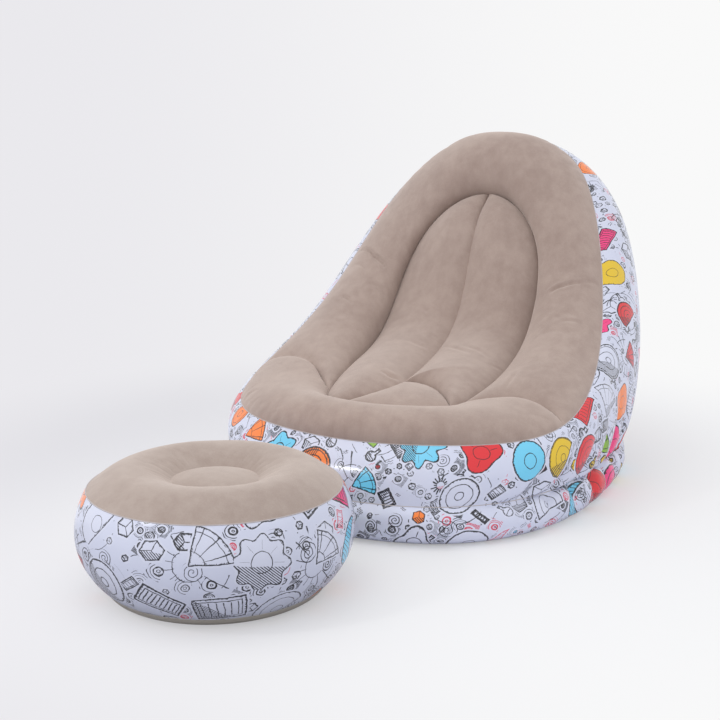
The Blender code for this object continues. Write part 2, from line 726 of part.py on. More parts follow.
def pan_rows(base, clear):
    """Flat floor disc with an edge that curls up to the base seam."""
    rise = base[1]
    run = base[0] - STOOL_FLOOR_RADIUS
    angles = np.linspace(math.pi / 2, 0, DENSE_STEPS)
    curl = [(STOOL_FLOOR_RADIUS + run * math.cos(a), rise * (1 - math.sin(a))) for a in angles]
    curl = curl[::-1]
    rows = even_rows(turned_rows(curl, STOOL_STATIONS), clear, 0, STOOL_PAN_ROWS)
    centre = turned_rows([(0, 0)], STOOL_STATIONS)
    return np.concatenate([rows, centre])[::-1]


def build_chair():
    ring, ring_rows, wall, wall_rows = build_chair_shell()
    build_rim()
    add_sheet("dish_panel", dish_lofts(), FLOCK, closed=False)
    build_webs()
    main = add_empty("main_valve_frame", facet_frame(wall_rows, SCREW_RISE_SHARE, BACK_TURN_SHARE))
    build_screw_valve(wall, main)
    low = add_empty("ring_valve_frame", facet_frame(ring_rows, RING_VALVE_RISE_SHARE, BACK_TURN_SHARE))
    build_stem_valve("ring_valve", ring, low)


clear_scene()
build_chair()
build_footstool()
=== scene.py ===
"""Inflatable lounge chair and footstool: the finished sheets, their flock and print, in studio light."""

import json
import math

import bmesh
import bpy
import numpy as np
from mathutils import Matrix, Vector
from mathutils.noise import noise as soft_noise

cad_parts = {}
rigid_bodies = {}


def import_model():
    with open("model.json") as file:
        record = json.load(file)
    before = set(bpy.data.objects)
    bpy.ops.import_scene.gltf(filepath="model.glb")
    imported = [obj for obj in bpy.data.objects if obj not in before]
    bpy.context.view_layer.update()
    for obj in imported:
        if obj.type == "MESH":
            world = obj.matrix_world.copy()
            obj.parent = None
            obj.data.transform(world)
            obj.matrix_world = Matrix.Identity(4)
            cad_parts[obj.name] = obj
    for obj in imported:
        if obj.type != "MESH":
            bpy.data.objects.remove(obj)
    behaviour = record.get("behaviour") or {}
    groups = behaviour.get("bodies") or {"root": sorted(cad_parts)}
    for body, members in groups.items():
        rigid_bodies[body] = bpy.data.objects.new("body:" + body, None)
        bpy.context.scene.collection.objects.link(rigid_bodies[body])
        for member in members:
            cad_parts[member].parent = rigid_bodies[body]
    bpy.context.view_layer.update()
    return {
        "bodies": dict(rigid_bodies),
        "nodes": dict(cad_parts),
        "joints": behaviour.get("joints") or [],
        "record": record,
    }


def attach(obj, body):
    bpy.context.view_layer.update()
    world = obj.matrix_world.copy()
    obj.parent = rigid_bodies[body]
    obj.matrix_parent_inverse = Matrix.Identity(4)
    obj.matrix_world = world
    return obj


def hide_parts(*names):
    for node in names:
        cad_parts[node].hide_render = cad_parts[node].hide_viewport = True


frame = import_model()

# How fine the sheets are cut: stations along a seam for each one of the plain model, and rows across
STATIONS = 52
STOOL_STATIONS = 36
FINENESS = 8
DENSE_STEPS = 120
MERGE = 0.00005
TINY = 1e-9

# Names of the print's map and of the map kept for baking
PRINT_MAP = "print"
BAKE_MAP = "OFBake"
BAKE_MARGIN = 0.02

# Sheets and seams
SHEET = 0.001
GAP = 0.0003
SEAM_CLEARANCE = 0.0006
BEAD_RADIUS = 0.0012
BEAD_ROUNDNESS = 2
CREASE_GAP = 0.00015
PANEL_THICKNESS = 0.0008

# Base ring
RING_HALF_WIDTH = 0.465
RING_FRONT = 0.561
RING_BACK = 0.580
RING_SQUARENESS = 2.45
RING_RADIUS = 0.044
RING_TOP_ANGLE = math.radians(70)
RING_ROWS = 14
DIVIDER_INSET = 0.130

# Top seam: across, along and rise shares
SEAM_HALF_WIDTH = RING_HALF_WIDTH - 0.035
SEAM_FRONT = RING_FRONT - 0.093
SEAM_BACK = RING_BACK - 0.056
SEAM_LOW = 0.203
SEAM_HIGH = 0.849
SEAM_SHARES = (
    (0, -1, 0),
    (0.444, -0.942, 0.006),
    (0.849, -0.688, 0.014),
    (1, -0.254, 0.088),
    (0.893, 0.359, 0.325),
    (0.672, 0.794, 0.718),
    (0.379, 1, 0.937),
    (0, 0.994, 1),
)

# The left of the back, where the seam stands further out over a leaner wall
LEFT_TURNS = 0.65
LEFT_SPREAD = 0.10
LEFT_SEAM_SHIFT = 0.013
LEFT_WALL_SLACK = 0.30

# Dish outline: across, along and rise shares
DISH_HALF_WIDTH = SEAM_HALF_WIDTH - 0.226
DISH_FRONT = SEAM_FRONT - 0.115
DISH_BACK = SEAM_BACK - 0.124
DISH_LOW = SEAM_LOW + 0.042
DISH_HIGH = SEAM_HIGH - 0.165
DISH_SHARES = (
    (0, -1, 0),
    (0.520, -0.946, 0),
    (0.828, -0.686, 0.010),
    (0.975, -0.170, 0.075),
    (1, 0.365, 0.215),
    (0.912, 0.712, 0.604),
    (0.529, 0.900, 0.914),
    (0, 1, 1),
)
DISH_TURN_SHARE = 0.052

# Printed wall
WALL_SWELL_FRONT = 0.019
WALL_SWELL_SIDE = 0.040
WALL_SWELL_BACK = 0.145
WALL_PEAK_SHARE = 0.564
WALL_FULLNESS = 0.41
WALL_FULLNESS_FRONT = 0.85
WALL_ROWS = 50
SWELL_EASE = 0.08
SHOULDER_SWELL = 0.018
SHOULDER_TURN_SHARE = 0.41
SHOULDER_SPREAD_SHARE = 0.06
SHOULDER_RISE_POWER = 4

# Flocked rim and bolster
RIM_CROWN_FRONT = 0.047
RIM_CROWN_SIDE = 0.036
RIM_CROWN_BACK = 0.068
RIM_ROWS = 40
CORNER_STATION = 10
CORNER_RIGHT = (9.35, 10.2, 10.7, 10.6, 10)
CORNER_LEFT = (11.5, 11.95, 12.05, 11.65, 10.1)
CORNER_SAG_SHARES = (0.40, 0.16)
CORNER_SAG_STATIONS = 3
CORNER_LOW_SHARE = 0.22
CORNER_ROLL_STATIONS = 0.6
CORNER_NEAR_STATIONS = 0.30
CORNER_FAR_STATIONS = 2.2
CORNER_FAR_SHARE = 0.45
CORNER_GAP = 0.0004

# Dish
CENTRE_SEAM_SHARES = (
    (0.240, 0.070),
    (0.430, 0.120),
    (0.620, 0.225),
    (0.730, 0.400),
    (0.785, 0.580),
    (0.838, 0.760),
    (0.903, 0.900),
    (1, 1),
)
FORK_STATIONS = (9, 5)
FINE_FORKS = tuple(station * FINENESS for station in FORK_STATIONS)
FORK_BOWS = ((0, 0.045, 0.006), (0, -0.014, -0.002))
LOBE_PUFF = 0.036
SEAT_PUFF = 0.020
LOBE_ROWS = 26
SEAT_ROWS = 14
LOBE_FULLNESS = 0.8
LOBE_TAPER_POWER = 0.5

# Footstool
STOOL_PLACE = (-0.081, -0.899, 0)
STOOL_FLOOR_RADIUS = 0.165
STOOL_BASE = (0.217, 0.023)
STOOL_SEAM = (0.247, 0.212)
STOOL_WELD = (0.085, 0.222)
STOOL_WALL_SWELL = 0.039
STOOL_WALL_FULLNESS = 0.8
STOOL_WALL_ROWS = 34
STOOL_CROWN = 0.036
STOOL_CROWN_ROWS = 44
STOOL_DOME = 0.014
STOOL_DOME_ROWS = 14
STOOL_PAN_ROWS = 10
STOOL_FINE = STOOL_STATIONS * FINENESS
STOOL_PRINT_START = (10, 0.31)

# Plain sheets
WALL_STATIONS = 960
FLOOR_ROWS = 14
WEB_ROWS = 6
WEB_DROP = 0.0022

# Valves
SCREW_FLANGE_THICKNESS = 0.0020
SCREW_HOLE_RADIUS = 0.0214
STEM_FLANGE_THICKNESS = 0.0014
STEM_HOLE_RADIUS = 0.0109
VALVE_FLAT = 0.034
VALVE_BLEND = 0.080
VALVE_FREE_POWER = 8
HOLE_SIDES = 64

# Puckers and folds beside the welds: their sizes, how far two slow waves sway them, and their strength
VINYL_PUCKER = 0.0016
VINYL_PUCKER_LENGTH = 0.042
VINYL_PUCKER_FADE = 0.022
SLOW_WAVES = (7, 5)
WAVE_REPEAT = math.prod(SLOW_WAVES)
PUCKER_SWAYS = (0.9, 0.7)
PUCKER_STRENGTH = (0.55, 0.45)
NEAR_WELD_SHARE = 0.25
FOLD_DEPTH = 0.0650
FOLD_LENGTH = 0.090
FOLD_FADE = 0.060
FOLD_FULL_SHARE = 0.26
FOLD_SWAYS = (0.45, 0.35)
FOLD_STRENGTH = (0.7, 0.3)
FOLD_SHARPNESS = 1.5
FOLD_BULGE_SHARE = 0.2
RING_FOLD_FADE = 0.050
FOLD_SEED = 33
FLOCK_PUCKER = 0.0010
FLOCK_SLACK = 0.0030
FLOCK_PUCKER_LENGTH = 0.034
FLOCK_PUCKER_FADE = 0.026
FLOCK_WAVE = 0.0016
FLOCK_WAVE_LENGTH = 0.07

# Pressed creases of the flocked sheets: places as shares across and along, depth and width
CREASE_STEPS = 120
CREASE_REACH = 5
CREASE_SHARPNESS = 1.4
CREASE_SHOULDER_SHARE = 0.35
CREASE_SHOULDER_WIDTHS = 2.2
CREASE_END_POWER = 0.7
RIM_CREASES = (
    (((0.070, 0.844), (0.350, 0.830), (0.600, 0.805)), 0.0062, 0.0045),
    (((0.150, 0.859), (0.375, 0.848)), 0.0032, 0.0042),
    (((0.275, 0.898), (0.500, 0.887)), 0.0034, 0.0042),
    (((0.475, 0.855), (0.825, 0.793)), 0.0030, 0.0050),
    (((0.560, 0.209), (0.475, 0.205), (0.375, 0.200), (0.175, 0.198)), 0.0058, 0.0045),
    (((0.200, 0.199), (0.025, 0.204)), 0.0022, 0.0042),
    (((0.400, 0.148), (0.225, 0.148)), 0.0026, 0.0042),
    (((0.700, 0.023), (0.700, 0.070)), 0.0030, 0.0045),
)
DISH_CREASES = (
    (
        (((0.962, 0.449), (0.462, 0.375)), 0.0026, 0.0050),
        (((0.654, 0.419), (0.423, 0.397), (0.192, 0.360)), 0.0024, 0.0050),
        (((0.154, 0.331), (0.038, 0.331)), 0.0018, 0.0045),
    ),
    (
        (((0.731, 0.619), (0.885, 0.608), (0.962, 0.583)), 0.0056, 0.0050),
        (((0.615, 0.470), (0.769, 0.470), (0.923, 0.464)), 0.0026, 0.0050),
        (((0.500, 0.369), (0.692, 0.381)), 0.0018, 0.0050),
    ),
    (),
)

# Air in the flocked sheets, and how far it may move them
AIR_FRAMES = 30
AIR_STEPS = 6
AIR_PRESSURE = 12
AIR_DAMPING = 8
AIR_REACH = 0.009
SHEET_TENSION = 40
SHEET_BENDING = 0.5

# Curves and lofts

def spline(knots, at, closed=False):
    """Smooth curve through the knots; at counts knots."""
    knots = np.asarray(knots, dtype=float)
    count = len(knots)
    stiffness = 4 * np.eye(count)
    pull = np.zeros_like(knots)
    for i in range(count):
        if closed or 0 < i < count - 1:
            stiffness[i, i - 1] += 1
            stiffness[i, (i + 1) % count] += 1
            pull[i] = 6 * (knots[i - 1] - 2 * knots[i] + knots[(i + 1) % count])
    bend = np.linalg.solve(stiffness, pull)
    at = np.asarray(at, dtype=float)
    first = np.floor(at).astype(int) if closed else np.clip(np.floor(at).astype(int), 0, count - 2)
    after = (at - first)[:, None]
    before = 1 - after
    this, following = first % count, (first + 1) % count
    chord = before * knots[this] + after * knots[following]
    return chord + ((before ** 3 - before) * bend[this] + (after ** 3 - after) * bend[following]) / 6


def mirrored_loop(shares, half_width, front, back, low, high, turns):
    """Closed curve from the table of its right half, which runs from the front to the back."""
    table = np.array(shares, dtype=float)
    depth = np.where(table[:, 1] < 0, front, back)
    half = np.stack([table[:, 0] * half_width, table[:, 1] * depth, low + table[:, 2] * (high - low)], -1)
    knots = np.concatenate([half, half[-2:0:-1] * (-1, 1, 1)])
    return spline(knots, np.asarray(turns) * len(knots), closed=True)


def turns_of(count):
    return np.arange(count) / count


def tangent_of(points, closed=True):
    if closed:
        step = np.roll(points, -1, axis=0) - np.roll(points, 1, axis=0)
    else:
        step = np.gradient(points, axis=0)
    return step / np.linalg.norm(step, axis=1)[:, None]


def outward_of(points):
    """Level direction out of a closed curve that runs anticlockwise from above."""
    step = tangent_of(points)
    out = np.stack([step[:, 1], -step[:, 0], np.zeros(len(step))], -1)
    return out / np.linalg.norm(out, axis=1)[:, None]


def ring_outline(turns):
    angle = 2 * math.pi * turns
    across, along = np.sin(angle), -np.cos(angle)
    size = (np.abs(across) ** RING_SQUARENESS + np.abs(along) ** RING_SQUARENESS) ** (-1 / RING_SQUARENESS)
    x = RING_HALF_WIDTH * size * across
    y = np.where(along < 0, RING_FRONT, RING_BACK) * size * along
    points = np.stack([x, y, np.zeros_like(x)], -1)
    return points, outward_of(points)


def swell_of(turns, front, side, back):
    """Swell round the chair, eased so that it has no kink at the sides."""
    facing = np.cos(2 * math.pi * turns)
    ends = (facing.clip(0), (-facing).clip(0))
    ahead, behind = (x ** 2 * (1 + SWELL_EASE) / (x + SWELL_EASE) for x in ends)
    return (side + (front - side) * ahead + (back - side) * behind)[:, None]


def perpendicular_distance(points, origin, along):
    offset = points - origin
    return np.linalg.norm(offset - (offset * along).sum(-1, keepdims=True) * along, axis=-1)


def lengths_along(line):
    return np.concatenate([[0], np.cumsum(np.linalg.norm(np.diff(line, axis=0), axis=1))])


def even_rows(loft, start_gap, end_gap, rows):
    """Rows evenly spaced over a dense closed loft, kept clear of the seams at its two ends."""
    start_along = tangent_of(loft[0])
    end_along = tangent_of(loft[-1])
    result = np.empty((rows + 1, loft.shape[1], 3))
    for i in range(loft.shape[1]):
        line = loft[:, i]
        length = lengths_along(line)
        half = len(line) // 2
        near_start = perpendicular_distance(line[:half], line[0], start_along[i])
        near_end = perpendicular_distance(line[half:], line[-1], end_along[i])[::-1]
        start = np.interp(start_gap, near_start, length[:half])
        end = np.interp(end_gap, near_end, length[half:][::-1])
        wanted = np.linspace(start, end, rows + 1)
        for axis in range(3):
            result[:, i, axis] = np.interp(wanted, length, line[:, axis])
    return result


def shorten(points, start, end):
    points = points.copy()
    first = points[1] - points[0]
    last = points[-2] - points[-1]
    points[0] += first * start / np.linalg.norm(first)
    points[-1] += last * end / np.linalg.norm(last)
    return points


def left_share(turns):
    """How far a place round the chair belongs to the left of its back, where the rim hides the wall."""
    return np.exp(-((turns - LEFT_TURNS) / LEFT_SPREAD) ** 2)


def top_seam(turns):
    seam = mirrored_loop(SEAM_SHARES, SEAM_HALF_WIDTH, SEAM_FRONT, SEAM_BACK, SEAM_LOW, SEAM_HIGH, turns)
    return seam + outward_of(seam) * (LEFT_SEAM_SHIFT * left_share(turns))[:, None]


def dish_outline(turns):
    turns = turns - DISH_TURN_SHARE * np.sin(2 * math.pi * turns)
    return mirrored_loop(DISH_SHARES, DISH_HALF_WIDTH, DISH_FRONT, DISH_BACK, DISH_LOW, DISH_HIGH, turns)


def ring_at(turns, angle):
    outline, outward = ring_outline(turns)
    inset = RING_RADIUS * (1 - math.cos(angle))
    height = RING_RADIUS * (1 + math.sin(angle))
    return outline - outward * inset + (0, 0, height)


def ring_loft(turns):
    angles = np.linspace(-math.pi / 2, RING_TOP_ANGLE, DENSE_STEPS)
    return np.array([ring_at(turns, angle) for angle in angles])


def wall_loft(turns):
    low = ring_at(turns, RING_TOP_ANGLE)
    high = top_seam(turns)
    outward = ring_outline(turns)[1]
    swell = swell_of(turns, WALL_SWELL_FRONT, WALL_SWELL_SIDE, WALL_SWELL_BACK)
    skew = math.log(0.5) / math.log(WALL_PEAK_SHARE)
    shares = (1 - np.cos(np.linspace(0, math.pi, DENSE_STEPS))) / 2
    ahead = np.cos(2 * math.pi * turns).clip(0)
    fullness = WALL_FULLNESS + (WALL_FULLNESS_FRONT - WALL_FULLNESS) * ahead
    fullness = fullness + LEFT_WALL_SLACK * left_share(turns)
    arch = np.sin(math.pi * shares ** skew).clip(0)[:, None] ** fullness
    away = (np.minimum(turns, 1 - turns) - SHOULDER_TURN_SHARE) / SHOULDER_SPREAD_SHARE
    shoulder = SHOULDER_SWELL * np.exp(-away ** 2)[:, None]
    high_arch = np.sin(math.pi * shares ** SHOULDER_RISE_POWER)
    rows = []
    for share, main, upper in zip(shares, arch, high_arch):
        rows.append(low * (1 - share) + high * share + outward * (swell * main[:, None] + shoulder * upper))
    return np.array(rows)


def corner_stations(share):
    """Stations of the right and left corner welds at a share of the way from the top seam to the dish."""
    knots = np.stack([CORNER_RIGHT, CORNER_LEFT], -1)
    return spline(knots, [share * (len(knots) - 1)])[0]


def corner_fullness(turns, share):
    """How full the sheets stand round the chair: a rolled end on the bolster, a slower rise on the rim."""
    right, left = corner_stations(share)
    past = np.minimum(turns * STATIONS - right, (1 - turns) * STATIONS - left)
    sag = np.where(turns < 0.5, *CORNER_SAG_SHARES) * np.exp(past.clip(max=0) / CORNER_SAG_STATIONS)
    roll = (1 - (1 - (-past / CORNER_ROLL_STATIONS).clip(0, 1)) ** 2) ** 0.5
    near = 1 - np.exp(-past.clip(0) / CORNER_NEAR_STATIONS)
    far = 1 - np.exp(-past.clip(0) / CORNER_FAR_STATIONS)
    rise = near + (far - near) * CORNER_FAR_SHARE
    return CORNER_LOW_SHARE + (1 - CORNER_LOW_SHARE) * np.where(past > 0, rise, roll * (1 - sag))


def rim_loft(turns):
    outer, inner = top_seam(turns), dish_outline(turns)
    chord = inner - outer
    level = np.linalg.norm(chord[:, :2], axis=1)
    lift = np.stack([-chord[:, 0] / level * chord[:, 2], -chord[:, 1] / level * chord[:, 2], level], -1)
    lift = lift / np.linalg.norm(lift, axis=1)[:, None]
    crown = swell_of(turns, RIM_CROWN_FRONT, RIM_CROWN_SIDE, RIM_CROWN_BACK)
    rows = []
    for angle in np.linspace(0, math.pi, DENSE_STEPS):
        share = (1 - math.cos(angle)) / 2
        height = crown * corner_fullness(turns, share)[:, None] * math.sin(angle)
        rows.append(outer + chord * share + lift * height)
    return np.array(rows)


def dish_edge(turns):
    outline = dish_outline(turns)
    return outline - outward_of(outline) * CREASE_GAP


def centre_seam(count, stations):
    """The seam from the fork up to the top of the dish, on the middle plane."""
    table = np.array(CENTRE_SEAM_SHARES)
    depth = -DISH_FRONT + table[:, 0] * (DISH_FRONT + DISH_BACK)
    rise = DISH_LOW + table[:, 1] * (DISH_HIGH - DISH_LOW)
    knots = np.stack([np.zeros(len(table)), depth, rise], -1)
    knots[-1] = dish_edge(turns_of(stations))[stations // 2]
    return spline(knots, np.linspace(0, len(knots) - 1, count))


def fork_branch(station, count, stations, bow):
    """One branch of the fork, from the dish's edge up to the centre seam, bowed a little."""
    start = dish_edge(turns_of(stations))[station]
    end = centre_seam(2, stations)[0]
    steps = np.linspace(0, 1, count)[:, None]
    return start * (1 - steps) + end * steps + np.array(bow) * 4 * steps * (1 - steps)


def lobe_loft(outer, inner, puff, rows):
    """Puffed patch between two seams that meet at both ends."""
    along = tangent_of((outer + inner) / 2, closed=False)
    level = np.abs(along[:, 0]) + np.abs(along[:, 1])
    up = np.stack([np.zeros(len(along)), -np.abs(along[:, 2]), level], -1)
    up = up / np.linalg.norm(up, axis=1)[:, None]
    width = np.linalg.norm(outer - inner, axis=1)
    height = puff * (width / width.max())[:, None] ** LOBE_TAPER_POWER
    shares = np.linspace(0, 1, rows + 1)
    arch = (4 * shares * (1 - shares)) ** LOBE_FULLNESS
    return np.array([outer * (1 - s) + inner * s + up * height * a for s, a in zip(shares, arch)])


def dish_seams(stations, forks):
    """The centre seam and the two branches of its fork, in points that the patches beside them share."""
    right, left = forks
    seam = centre_seam(stations // 2 + 1 - right - left, stations)
    right_branch = fork_branch(right, left + 1, stations, FORK_BOWS[0])
    left_branch = fork_branch(-left, right + 1, stations, FORK_BOWS[1])
    return seam, right_branch, left_branch


def dish_lofts(stations, forks):
    edge = dish_edge(turns_of(stations))
    seam, right, left = dish_seams(stations, forks)
    half_way = stations // 2
    right_seam = np.concatenate([right, seam[1:]])
    left_seam = np.concatenate([left, seam[1:]])[::-1]
    right_edge = edge[forks[0]:half_way + 1]
    left_edge = edge[half_way:stations - forks[1] + 1]
    front_edge = np.concatenate([edge[-forks[1]:], edge[:forks[0] + 1]])
    front_seam = np.concatenate([left, right[-2::-1]])
    return (
        lobe_loft(right_edge, right_seam, LOBE_PUFF, LOBE_ROWS),
        lobe_loft(left_edge, left_seam, LOBE_PUFF, LOBE_ROWS),
        lobe_loft(front_edge, front_seam, SEAT_PUFF, SEAT_ROWS),
    )


def turned_rows(profile):
    """Rows of points from radius and height pairs turned round the footstool's axis."""
    angle = 2 * math.pi * turns_of(STOOL_FINE)
    around = np.stack([np.sin(angle), -np.cos(angle), np.zeros(STOOL_FINE)], -1)
    return np.array([around * radius + (0, 0, height) for radius, height in profile]) + STOOL_PLACE


def arch_profile(start, end, swell, fullness):
    start, end = np.array(start), np.array(end)
    chord = end - start
    out = np.array([chord[1], -chord[0]]) / np.linalg.norm(chord)
    shares = (1 - np.cos(np.linspace(0, math.pi, DENSE_STEPS))) / 2
    return [start + chord * s + out * swell * math.sin(math.pi * s) ** fullness for s in shares]


# Puckers and creases: what a welded, inflated sheet does beside its seams

def across_and_along(rows):
    """Distance of each point from the first row, and its place along its row, in metres."""
    across = np.zeros(rows.shape[:2])
    across[1:] = np.cumsum(np.linalg.norm(np.diff(rows, axis=0), axis=2), axis=0)
    along = np.zeros(rows.shape[:2])
    along[:, 1:] = np.cumsum(np.linalg.norm(np.diff(rows, axis=1), axis=2), axis=1)
    return across, along


def surface_normals(rows, closed):
    down = np.gradient(rows, axis=0)
    if closed:
        step = np.roll(rows, -1, axis=1) - np.roll(rows, 1, axis=1)
    else:
        step = np.gradient(rows, axis=1)
    normal = np.cross(step, down)
    return normal / np.maximum(np.linalg.norm(normal, axis=2), TINY)[:, :, None]


def unevenness(angle, seed, sways, strength):
    """How far each wave is moved along, and how strong it is; both come back after WAVE_REPEAT waves."""
    slow, slower = (angle / count for count in reversed(SLOW_WAVES))
    sway = sways[0] * np.sin(slower + seed) + sways[1] * np.sin(slow + 2 * seed)
    return sway, strength[0] + strength[1] * np.sin(slow + 3 * seed) * np.sin(slower + 5 * seed)


def pucker_wave(waves, seed):
    """Round dents from 0 to 1 that differ in place and depth."""
    angle = 2 * math.pi * waves
    sway, strength = unevenness(angle, seed, PUCKER_SWAYS, PUCKER_STRENGTH)
    return (0.5 + 0.5 * np.sin(angle + sway)) * strength


def fold_wave(waves, seed):
    """Sharp valleys between round bulges, some deeper and wider than others."""
    angle = 2 * math.pi * waves
    sway, strength = unevenness(angle, seed, FOLD_SWAYS, FOLD_STRENGTH)
    return ((1 - np.abs(np.sin(angle / 2 + sway))) ** FOLD_SHARPNESS - FOLD_BULGE_SHARE) * strength


def pucker(rows, closed, depth, length, fade, seed, start=True, end=True, wave_of=pucker_wave):
    """Lowers a sheet beside its welded edges in an uneven row of dents."""
    across, along = across_and_along(rows)
    share = along / np.maximum(along[:, -1:], MERGE)
    dent = np.zeros(rows.shape[:2])
    for edge, distance, welded in ((0, across, start), (-1, across[-1] - across, end)):
        if welded:
            count = along[edge, -1] / length
            if closed:
                count = max(1, round(count / WAVE_REPEAT)) * WAVE_REPEAT
            wave = wave_of(share * count, seed + edge)
            near = 1 - np.exp(-distance / (NEAR_WELD_SHARE * fade))
            dent += wave * near * np.exp(-distance / fade) * (1 - distance / distance.max(axis=0))
    return rows - surface_normals(rows, closed) * (dent * depth)[:, :, None]


def fold_depth(turns):
    """How deep the waist's upright folds are: none at the front, deepest where the wall stands out most."""
    return FOLD_DEPTH * ((1 - np.cos(2 * math.pi * turns)) / 2 / FOLD_FULL_SHARE).clip(0, 1) ** 2


def crease_line(rows, places):
    """Points on a patch along the line through places, each a share across and a share along."""
    last = np.array(rows.shape[:2]) - 1
    knots = np.array(places) * last
    at = np.linspace(0, len(knots) - 1, CREASE_STEPS)
    spots = np.stack([np.interp(at, np.arange(len(knots)), knots[:, i]) for i in (0, 1)], -1)
    row, column = np.minimum(spots.astype(int), last - 1).T
    down, along = (spots - np.stack([row, column], -1)).T[:, :, None]
    before = rows[row, column] * (1 - along) + rows[row, column + 1] * along
    after = rows[row + 1, column] * (1 - along) + rows[row + 1, column + 1] * along
    return before * (1 - down) + after * down


def press(points, normals, line, depth, width):
    """Presses a soft groove with raised shoulders into a surface along a line."""
    reach = CREASE_REACH * width
    above, below = points > line.min(axis=0) - reach, points < line.max(axis=0) + reach
    near = np.flatnonzero(np.all(above & below, axis=1))
    offset = points[near, None] - line
    offset -= (offset * normals[near, None]).sum(axis=2, keepdims=True) * normals[near, None]
    distance = np.linalg.norm(offset, axis=2)
    share = distance.argmin(axis=1) / (len(line) - 1)
    away = distance.min(axis=1) / width
    shoulder = np.exp(-(away - CREASE_SHOULDER_WIDTHS) ** 2)
    groove = np.exp(-away ** CREASE_SHARPNESS) - CREASE_SHOULDER_SHARE * shoulder
    points[near] -= normals[near] * (groove * np.sin(math.pi * share) ** CREASE_END_POWER * depth)[:, None]


def waved(rows, closed, height, length, seed):
    """Slow, shallow ups and downs of a tight sheet."""
    shift = Vector((seed, seed, seed))
    level = np.array([[soft_noise(Vector(point) / length + shift) for point in row] for row in rows])
    share = np.sin(math.pi * np.linspace(0, 1, len(rows)))[:, None]
    return rows + surface_normals(rows, closed) * (level * share * height)[:, :, None]


# Meshes

class Patch:
    """A grid of points, the slack grid it would rest at, and its place in the print."""

    def __init__(self, rows, closed=True, slack=None, places=None, ends_held=False):
        self.rows = rows
        self.closed = closed
        self.slack = rows if slack is None else slack
        self.places = places
        self.held = np.zeros(rows.shape[:2])
        self.held[[0, -1]] = 1
        if ends_held:
            self.held[:, [0, -1]] = 1

    def corners(self):
        """Row and column of every face's four corners; a closed row's last column is one past its end."""
        count, columns = self.rows.shape[:2]
        across = columns if self.closed else columns - 1
        down, right = np.meshgrid(np.arange(count - 1), np.arange(across), indexing="ij")
        down, right = down.ravel(), right.ravel()
        rows = np.stack([down, down, down + 1, down + 1], -1)
        return rows, np.stack([right, right + 1, right + 1, right], -1)

    def bake_places(self, shelf, shelves):
        """Places in the unit square, on one shelf of several."""
        down, right = self.corners()
        count, columns = self.rows.shape[:2]
        across = right / (columns if self.closed else columns - 1)
        up = (shelf + BAKE_MARGIN + (1 - 2 * BAKE_MARGIN) * down / (count - 1)) / shelves
        return np.stack([across, up], -1)


def keep_map(mesh, name, places):
    """Keeps the places of every face's corners, patch by patch, as a map of the mesh."""
    layer = mesh.uv_layers.new(name=name)
    layer.uv.foreach_set("vector", np.concatenate(places).astype(np.float32).ravel())


def keep_values(mesh, name, kind, field, values):
    """Keeps values at the points of a mesh, patch by patch."""
    mesh.attributes.new(name, kind, "POINT")
    mesh.attributes[name].data.foreach_set(field, np.concatenate(values).astype(np.float32).ravel())


def sheet_mesh(name, patches):
    points, slack, held, faces = [], [], [], []
    offset = 0
    for patch in patches:
        down, right = patch.corners()
        columns = patch.rows.shape[1]
        faces.append(offset + down * columns + right % columns)
        points.append(patch.rows.reshape(-1, 3))
        slack.append(patch.slack.reshape(-1, 3))
        held.append(patch.held.ravel())
        offset += len(points[-1])
    mesh = bpy.data.meshes.new(name)
    mesh.from_pydata(np.concatenate(points).tolist(), [], np.concatenate(faces).tolist())
    if patches[0].places is not None:
        keep_map(mesh, PRINT_MAP, [patch.places[patch.corners()].reshape(-1, 2) for patch in patches])
    shelves = [patch.bake_places(i, len(patches)).reshape(-1, 2) for i, patch in enumerate(patches)]
    keep_map(mesh, BAKE_MAP, shelves)
    keep_values(mesh, "slack", "FLOAT_VECTOR", "vector", slack)
    keep_values(mesh, "held", "FLOAT", "value", held)
    shape = bmesh.new()
    shape.from_mesh(mesh)
    bmesh.ops.remove_doubles(shape, verts=shape.verts, dist=MERGE)
    mark_seams(shape)
    shape.to_mesh(mesh)
    shape.free()
    return mesh


def mark_seams(shape):
    """Keeps the edges along the welds sharp and all others smooth."""
    held = shape.verts.layers.float["held"]
    crease = shape.edges.layers.float.new("crease_edge")
    for face in shape.faces:
        face.smooth = True
    for edge in shape.edges:
        if all(vertex[held] > 0.5 for vertex in edge.verts):
            edge[crease] = 1
            edge.smooth = False


def add_piece(name, data, body, replaced, material):
    piece = bpy.data.objects.new(name, data)
    bpy.context.scene.collection.objects.link(piece)
    data.materials.append(material)
    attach(piece, body)
    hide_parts(*replaced)
    return piece


def settle(piece):
    """Keeps what the modifiers make as the piece's own mesh."""
    depsgraph = bpy.context.evaluated_depsgraph_get()
    seen = piece.evaluated_get(depsgraph)
    mesh = bpy.data.meshes.new_from_object(seen, preserve_all_data_layers=True, depsgraph=depsgraph)
    piece.modifiers.clear()
    piece.data = mesh


def thicken(piece):
    """Gives a sheet its thickness, inwards from its outer face."""
    sheet = piece.modifiers.new("sheet", "SOLIDIFY")
    sheet.thickness = PANEL_THICKNESS
    sheet.offset = -1


def add_bead(name, points, body, replaced, material):
    """The bead of a welded seam, a fine tube along a closed curve."""
    curve = bpy.data.curves.new(name, "CURVE")
    curve.dimensions = "3D"
    curve.bevel_depth = BEAD_RADIUS
    curve.bevel_resolution = BEAD_ROUNDNESS
    path = curve.splines.new("POLY")
    path.points.add(len(points) - 1)
    for knot, point in zip(path.points, points):
        knot.co = (*point, 1)
    path.use_cyclic_u = True
    return add_piece(name, curve, body, replaced, material)


# Air

